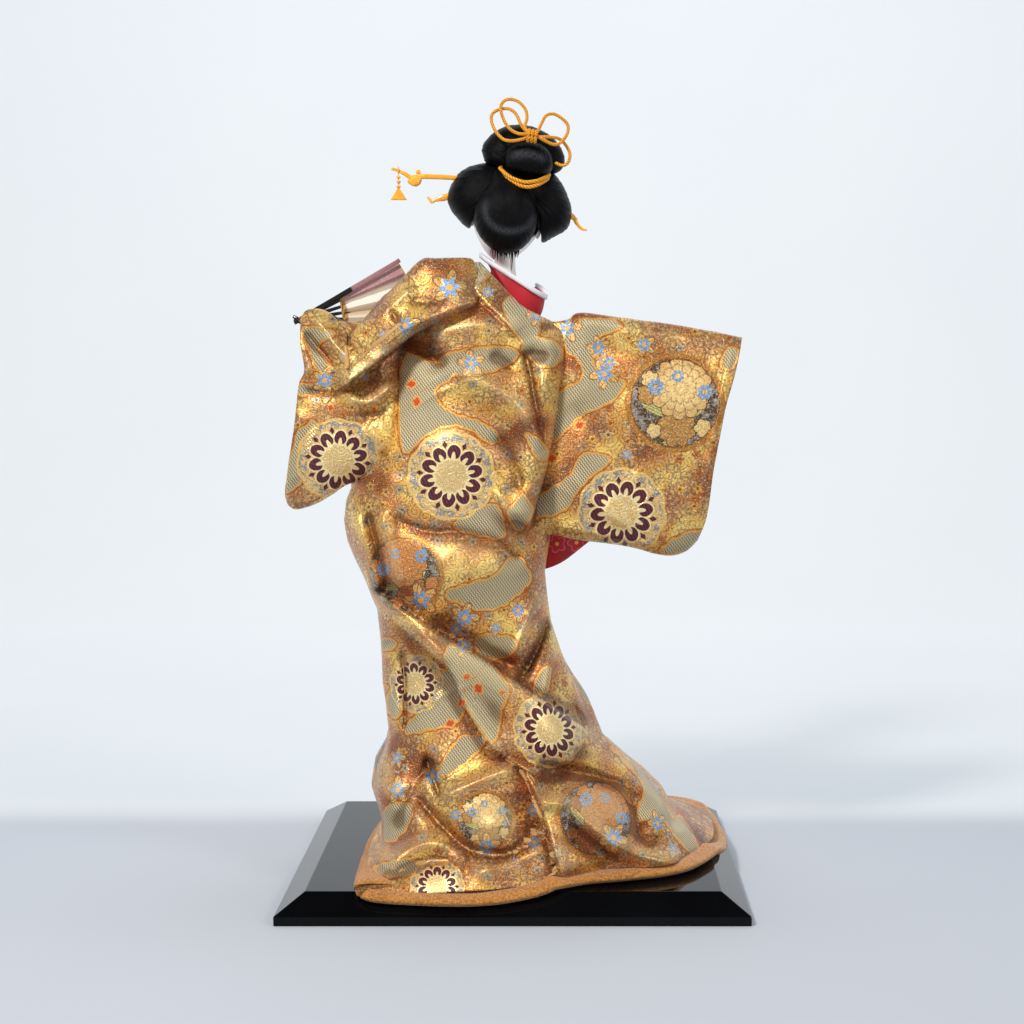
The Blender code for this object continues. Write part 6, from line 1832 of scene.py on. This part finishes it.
# ---------------------------------------------------------------- hairpins
def amber():
    s = Shader("amber_pin")
    o = s.obj()
    n = s.noise(o, 180.0, 2.0)
    c = s.mix(s.lerp(n, .3, .7, 0, 1), "#EC9A14", "#F9B93A")
    return s.set(color=c, rough=.22, spec=.6, sss=.25, sss_scale=.003, coat=.3, coat_rough=.1)


AMBER = amber()


def bar(name, pts, ys, rw, rh, m=20):
    p = resample(img_path(pts, ys), 60)
    t = np.linspace(0, 1, 60)
    w_ = np.interp(t, np.linspace(0, 1, len(rw)), rw)
    h_ = np.interp(t, np.linspace(0, 1, len(rh)), rh)
    return tube_mesh(name, tube_rows(p, w_, h_, m, up=(0, 1, 0)), [AMBER])


pin_objs = [
    bar("a", [(500, 182), (470, 179), (440, 177), (418, 176.4)], [.010], [.0017, .0017, .0018, .0019], [.0013, .0013, .0013, .0013]),
    bar("b", [(421, 178), (414, 181), (407.5, 181.5)], [.010], [.0018, .0042, .0046, .0030, .0008], [.0014, .0024, .0026, .0018, .0006]),
    bar("c", [(416, 172.4), (420.5, 171.6)], [.010], [.0012, .0018, .0012], [.0010, .0014, .0010]),
    bar("d", [(414, 180), (406, 174.5), (398, 170.6), (391.5, 168.6)], [.010], [.0012, .0017, .0015, .0010, .0012], [.0010, .0013, .0012, .0009, .0010]),
]
pin_long = joined("hairpin_long_carved", pin_objs)
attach(pin_long, "root")
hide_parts("hairpin_long")
pl = joined("hairpin_cross_left_leaf", [
    bar("a", [(470, 193), (458, 195), (448, 196.6), (440, 198.6), (434, 200.8)], [.0150], [.0014, .0018, .0026, .0026, .0010], [.0010, .0012, .0013, .0012, .0006]),
    bar("b", [(434.5, 200.6), (432, 202), (429, 198.6), (427.2, 196.8)], [.0150], [.0010, .0012, .0011, .0007], [.0008, .0009, .0008, .0006])])
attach(pl, "root")
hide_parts("hairpin_cross_left")
pr = joined("hairpin_cross_right_leaf", [
    bar("a", [(552, 208), (564, 213), (571, 215.8), (575.5, 219.5)], [.0150], [.0014, .0018, .0026, .0016], [.0010, .0012, .0013, .0009]),
    bar("b", [(575, 218.6), (577, 223.6), (581.6, 228.6), (587, 230.2)], [.0150], [.0018, .0013, .0012, .0007], [.0010, .0009, .0008, .0006])])
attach(pr, "root")
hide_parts("hairpin_cross_right")

lo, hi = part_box("hairpin_pendant")
hx, hy, hz = -.0885, .010, .52981


def ring_path(c, r, n=24, sy=1.0):
    return np.array([(c[0], c[1] + sy * r * math.cos(a), c[2] + r * math.sin(a)) for a in np.linspace(0, 2 * math.pi, n, endpoint=False)])


pend = []
rp = ring_path((hx, hy, hz - .0002), .0024, 40)
pend.append(tube_mesh("r", tube_rows(np.concatenate((rp, rp[:2])), .00045, .00045, 10, up=(1, 0, 0)), [AMBER]))
for z0, z1 in ((.0026, .0046), (.0058, .0080), (.0092, .0116)):
    rr = np.array([(hx, hy + .0004 * math.sin(k), hz - z0 - (z1 - z0) * k / 6) for k in range(7)])
    pend.append(tube_mesh("w", tube_rows(rr, .00045, .00045, 8, up=(0, 1, 0)), [AMBER]))
for dz in (.0052, .0088, .0123):
    pend.append(ellipsoid("b", (hx, hy, hz - dz), (.0016, .0016, .0013), [AMBER], 20, 12))
tri = []
for k, z in enumerate(np.linspace(0, 1, 9)):
    wdt = .0009 + .0054 * z
    tri.append([(hx + wdt * math.copysign(abs(math.cos(a)) ** .55, math.cos(a)), hy + .0012 * math.copysign(abs(math.sin(a)) ** .7, math.sin(a)), hz - .0136 - .0086 * z) for a in np.linspace(0, 2 * math.pi, 24, endpoint=False)])
pend.append(tube_mesh("t", np.array(tri), [AMBER]))
pendant = joined("hairpin_pendant_beads", pend)
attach(pendant, "pendant")
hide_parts("hairpin_pendant")

# ---------------------------------------------------------------- fan
PIV = np.array((-.164, .009, .418))
FT = np.array(Matrix.Rotation(math.radians(22), 3, "Z"))


def fan_pt(r, a, y):
    v = np.stack(np.broadcast_arrays(r * np.cos(a), y, r * np.sin(a)), -1)
    return PIV + v @ FT.T


def fan_paper():
    s = Shader("fan_paper")
    a, r, k = s.split(s.attr("fn"))
    o = s.obj()
    fib = s.noise(o, 800.0, 3.0)
    soft = s.noise(o, 60.0, 2.0)
    # plain bands in three tones: mauve, ivory with one tan stripe, mauve
    c = s.mix(s.step(a, .32, .42), "#AC8084", "#F5EFE2")
    c = s.mix(s.step(s.f("ABSOLUTE", a - .66), .09, .0), c, "#D8BE90")
    c = s.mix(s.step(a, .86, .90), c, "#AC8084")
    c = s.mix(s.step(soft, .5, .7) * .18, c, "#C9A9A6")
    c = s.mix(s.step(fib, .55, .7) * .25, c, "#FFFFFF")
    edge = s.f("MAXIMUM", s.step(r, .975, .99), s.step(r, .43, .415))
    c = s.mix(edge, c, "#B98F58")
    return s.set(color=c, rough=.45, spec=.4, sheen=.15, normal=s.bump(fib, .0002, .4))


def fan_wood():
    s = Shader("fan_sticks")
    o = s.obj()
    x, y, z = s.split(o)
    g = s.noise(s.xyz(x * 60.0, y * 300.0, z * 300.0), 3.0, 2.0)
    c = s.mix(s.step(g, .4, .7), "#050506", "#17181C")
    return s.set(color=c, rough=.28, spec=.55, coat=.3, coat_rough=.15, normal=s.bump(g, .0002, .3))


PAPER, WOOD = fan_paper(), fan_wood()
folds = 12
nA, nR = folds * 8 + 1, 48
A0, A1 = math.radians(-34), math.radians(29)
ang = np.linspace(0, folds, nA)
zig = 2 * np.abs((ang / 2) % 1 - .5) * 2 - 1
zig = np.sign(zig) * np.abs(zig) ** 1.0
r_ = np.linspace(.036, .0905, nR)[:, None]
a_ = (A0 + (A1 - A0) * ang / folds)[None]
rows = fan_pt(r_ * np.ones((1, nA)), a_ * np.ones((nR, 1)), zig[None] * .0019 * r_ / .0905)
fa = np.stack((np.broadcast_to((ang / folds)[None], (nR, nA)), np.broadcast_to(r_ / .0905, (nR, nA)), np.zeros((nR, nA))), -1)
nrm = grid_normals(rows)
thick = .00018
P2 = np.concatenate((rows, (rows + nrm * thick)[:, ::-1]), axis=1)
A2 = np.concatenate((fa, fa[:, ::-1]), axis=1)
leaf = tube_mesh("fan_leaf_pleated", P2, [PAPER], attrs={"fn": A2})
leaf.data.polygons.foreach_set("use_smooth", np.zeros(len(leaf.data.polygons), bool))
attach(leaf, "root")
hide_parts("fan_leaf")


def stick_rows(a, y, r0, r1, w0, w1, t, n=24, m=16):
    r = np.linspace(r0, r1, n)
    w = np.interp(r, [r0, r0 + .010, .030, r1], [w0 * .55, w0, (w0 + w1) / 2, w1]) / 2
    b = np.linspace(0, 2 * math.pi, m, endpoint=False)
    e = .45
    cx = np.sign(np.cos(b)) * np.abs(np.cos(b)) ** e
    sy = np.sign(np.sin(b)) * np.abs(np.sin(b)) ** e
    rr = r[:, None] * np.ones((1, m))
    off = w[:, None] * cx[None]
    yy = y + t / 2 * sy[None] * np.ones((n, 1))
    v = np.stack((rr * math.cos(a) - off * math.sin(a), yy, rr * math.sin(a) + off * math.cos(a)), -1)
    return PIV + v @ FT.T


def covered():
    s = Shader("fan_guard_cover")
    o = s.obj()
    x, y, z = s.split(o)
    r = s.f("SQRT", (x + .164) * (x + .164) + (z - .418) * (z - .418) + (y - .009) * (y - .009))
    g = s.noise(s.xyz(x * 60.0, y * 300.0, z * 300.0), 3.0, 2.0)
    fib = s.noise(o, 800.0, 3.0)
    paper = s.mix(s.step(fib, .5, .7) * .4, "#A0777C", "#C2A0A2")
    far_ = s.step(r, .046, .048)
    c = s.mix(far_, s.mix(s.step(g, .4, .7), "#050506", "#17181C"), paper)
    return s.set(color=c, rough=s.mixf(far_, .28, .5), spec=.45, normal=s.bump(fib, .0002, .4))


COVER = covered()
gu = tube_mesh("fan_guard_upper_lacquered", stick_rows(A1 + math.radians(1.2), -.0021, -.0050, .0911, .0046, .0034, .0013), [COVER])
gl = tube_mesh("fan_guard_lower_lacquered", stick_rows(A0 - math.radians(1.2), .0021, -.0050, .0911, .0046, .0034, .0013), [WOOD])
for o, n_ in ((gu, "fan_guard_upper"), (gl, "fan_guard_lower")):
    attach(o, "root")
    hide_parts(n_)
ribs = [tube_mesh("rb", stick_rows(A0 + (A1 - A0) * (i + .5) / 8, -.0010 + .0020 * (i + .5) / 8, -.0042, .0400, .0034, .0018, .00030, 16, 8), [WOOD]) for i in range(8)]
ribs = joined("fan_inner_sticks", ribs)
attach(ribs, "root")
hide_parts("fan_ribs")


def brass():
    s = Shader("brass_rivet")
    o = s.obj()
    n = s.noise(o, 400.0, 2.0)
    return s.set(color=s.mix(s.lerp(n, .3, .7, 0, 1), "#8A6A2A", "#D8B45A"), metal=1.0, rough=s.lerp(n, .3, .7, .25, .45), normal=s.bump(n, .0001, .3))


BRASS = brass()
NODES["fan_rivet"].data.materials.clear()
NODES["fan_rivet"].data.materials.append(BRASS)


# ---------------------------------------------------------------- hands
def hand(name, wrist, aim, back, size, curl, sign, node):
    aim = np.array(Vector(aim).normalized())
    back = np.array(Vector(back).normalized())
    side = np.cross(aim, back)
    side /= np.linalg.norm(side)
    back = np.cross(side, aim)
    w = np.array(wrist)
    rot = Matrix((side, aim, back)).transposed()
    objs = [ellipsoid("p", w + aim * .0078 * size, (.0058 * size, .0094 * size, .0029 * size), [SKIN], 28, 18, rot),
            tube_mesh("w", tube_rows(resample([w - aim * .0045, w, w + aim * .004], 10), np.linspace(.0036, .0044, 10) * size, np.linspace(.0030, .0028, 10) * size, 20, up=tuple(back)), [SKIN])]
    for i in range(4):
        off = (i - 1.5) * .0028 * size
        length = (.0122, .0138, .0130, .0108)[i] * size
        a = w + aim * .0120 * size + side * off
        p = [a - aim * .003, a, a + aim * length * .38 - back * curl * .12, a + aim * length * .68 - back * curl * .50, a + aim * length * (1 - .25 * min(1, curl / .006)) - back * curl]
        rr = np.interp(np.linspace(0, 1, 26), [0, .2, .45, .6, .85, .96, 1], [.0017, .00165, .0015, .0015, .0012, .0009, .0003]) * size
        objs.append(tube_mesh("f", tube_rows(resample(p, 26), rr, rr, 14, up=tuple(side)), [SKIN]))
    a = w + aim * .0030 * size + side * sign * .0036 * size
    p = [a, a + aim * .0045 * size + side * sign * .0030 * size - back * .0010, a + aim * .0085 * size + side * sign * .0034 * size - back * .0020, a + aim * .0120 * size + side * sign * .0026 * size - back * .0030]
    rr = np.interp(np.linspace(0, 1, 24), [0, .3, .8, .95, 1], [.0021, .0019, .0015, .0009, .0003]) * size
    objs.append(tube_mesh("t", tube_rows(resample(p, 24), rr, rr, 14, up=tuple(side)), [SKIN]))
    o = joined(name, objs)
    rm = o.modifiers.new("r", "REMESH")
    rm.mode = "VOXEL"
    rm.voxel_size = .00042
    sm = o.modifiers.new("s", "SMOOTH")
    sm.factor, sm.iterations = .5, 6
    bpy.context.view_layer.objects.active = o
    for m_ in ("r", "s"):
        bpy.ops.object.modifier_apply(modifier=m_)
    o.data.polygons.foreach_set("use_smooth", np.ones(len(o.data.polygons), bool))
    if not o.data.materials:
        o.data.materials.append(SKIN)
    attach(o, "root")
    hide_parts(node)
    return o


hand("hand_right_carved", (.1450, -.0190, .3860), (.86, .16, .30), (-.2, -.9, .35), .86, .0035, 1, "hand_right")
hand("hand_left_carved", (-.1455, -.0060, .3995), (-.46, .42, .78), (-.80, -.50, -.20), .92, .0060, 1, "hand_left")


# ---------------------------------------------------------------- what stays from the frame
def steel():
    s = Shader("steel_rod")
    o = s.obj()
    x, y, z = s.split(o)
    n = s.noise(s.xyz(x, y, z * .05), 900.0, 2.0)
    return s.set(color=s.mix(s.lerp(n, .3, .7, 0, 1), "#6A6E73", "#9CA1A8"), metal=1.0, rough=s.lerp(n, .3, .7, .3, .5), normal=s.bump(n, .0001, .3))


STEEL = steel()
for n_, mat_ in (("leg_rod_left", STEEL), ("leg_rod_right", STEEL), ("foot_left", WHITE), ("foot_right", WHITE)):
    NODES[n_].data.materials.clear()
    NODES[n_].data.materials.append(mat_)


# ---------------------------------------------------------------- studio
def floor_mat():
    s = Shader("studio_floor")
    o = s.obj()
    x, y, z = s.split(o)
    n = s.noise(o, 3.0, 2.0)
    c = s.mix(s.step(y + n * .03, 0.14, 0.25), "#B6BCC5", "#E6E9EB")
    c = s.mix(s.step(n, .3, .7) * .10, c, "#C6CCD6")
    # painted light: the far part of the floor and the wall glow with light of their own and keep half their colour, so
    # that they stay evenly bright
    far = s.step(y + n * .03, 0.14, 0.25)
    c = s.mix(far * .5, c, (0.0, 0.0, 0.0, 1.0))
    # the painted light is one plain gradient between two pale tones, from the floor up to the wall
    pale = s.mix(s.lerp(y + z, 0.25, 1.25, 0.0, 1.0), (.30, .34, .38, 1.0), (.45, .475, .50, 1.0))
    glow_c = s.mix(far, (0.0, 0.0, 0.0, 1.0), pale)
    # painted light: the floor far in front of the doll, behind the eye, glows as well
    glow_c = s.mix(s.step(y, -0.6, -2.4), glow_c, (.38, .41, .45, 1.0))
    return s.set(color=c, rough=0.85, spec=.2, emit=glow_c, emit_strength=1.0)


FLOOR = floor_mat()
FLOOR.cycles.emission_sampling = "NONE"
prof = [(-14.0, 0.0), (1.2, 0.0)] + [(1.2 + 0.9 * math.sin(a), 0.9 - 0.9 * math.cos(a)) for a in np.linspace(0.1, math.pi / 2, 14)] + [(2.1, 4.0)]
xs = np.linspace(-14, 14, 9)
fl = np.array([[(x, y, z) for x in xs] for y, z in prof])
floor = mesh_from("studio_floor", fl.reshape(-1, 3), [grid_faces(len(prof), len(xs))], [FLOOR])

world = bpy.data.worlds.new("studio")
bpy.context.scene.world = world
world.use_nodes = True
wt = world.node_tree
bg = wt.nodes["Background"]
tc, sep = wt.nodes.new("ShaderNodeTexCoord"), wt.nodes.new("ShaderNodeSeparateXYZ")
mr = wt.nodes.new("ShaderNodeMapRange")
mixw = wt.nodes.new("ShaderNodeMix")
mixw.data_type = "RGBA"
wt.links.new(tc.outputs["Generated"], sep.inputs[0])
wt.links.new(sep.outputs[2], mr.inputs[0])
mr.inputs[1].default_value, mr.inputs[2].default_value = 0.35, 0.85
wt.links.new(mr.outputs[0], mixw.inputs[0])
mixw.inputs[6].default_value, mixw.inputs[7].default_value = rgb("#E9EEF2"), rgb("#4A4D52")
wt.links.new(mixw.outputs[2], bg.inputs[0])
bg.inputs[1].default_value = 0.53


def area(name, loc, aim, size, power, color=(1, 1, 1), size_y=None):
    L = bpy.data.lights.new(name, "AREA")
    L.energy = power
    L.color = color
    L.size = size
    if size_y:
        L.shape = "RECTANGLE"
        L.size_y = size_y
    o = link(bpy.data.objects.new(name, L))
    o.location = loc
    o.rotation_euler = (Vector(aim) - Vector(loc)).to_track_quat("-Z", "Y").to_euler()
    return o


area("key", (-0.75, -1.20, 1.55), (0, 0, .30), 0.26, 30, (1.0, .97, .93))
area("side", (1.30, -1.05, 1.05), (0, 0, .28), 0.40, 8, (1.0, .98, .95))
top = area("top", (0.1, 0.2, 1.8), (0, 0, .2), 0.9, 7)
top.visible_glossy = False
wall = area("wall", (0.0, 0.75, 2.1), (0, 2.2, .7), 1.8, 17)
wall.visible_glossy = False
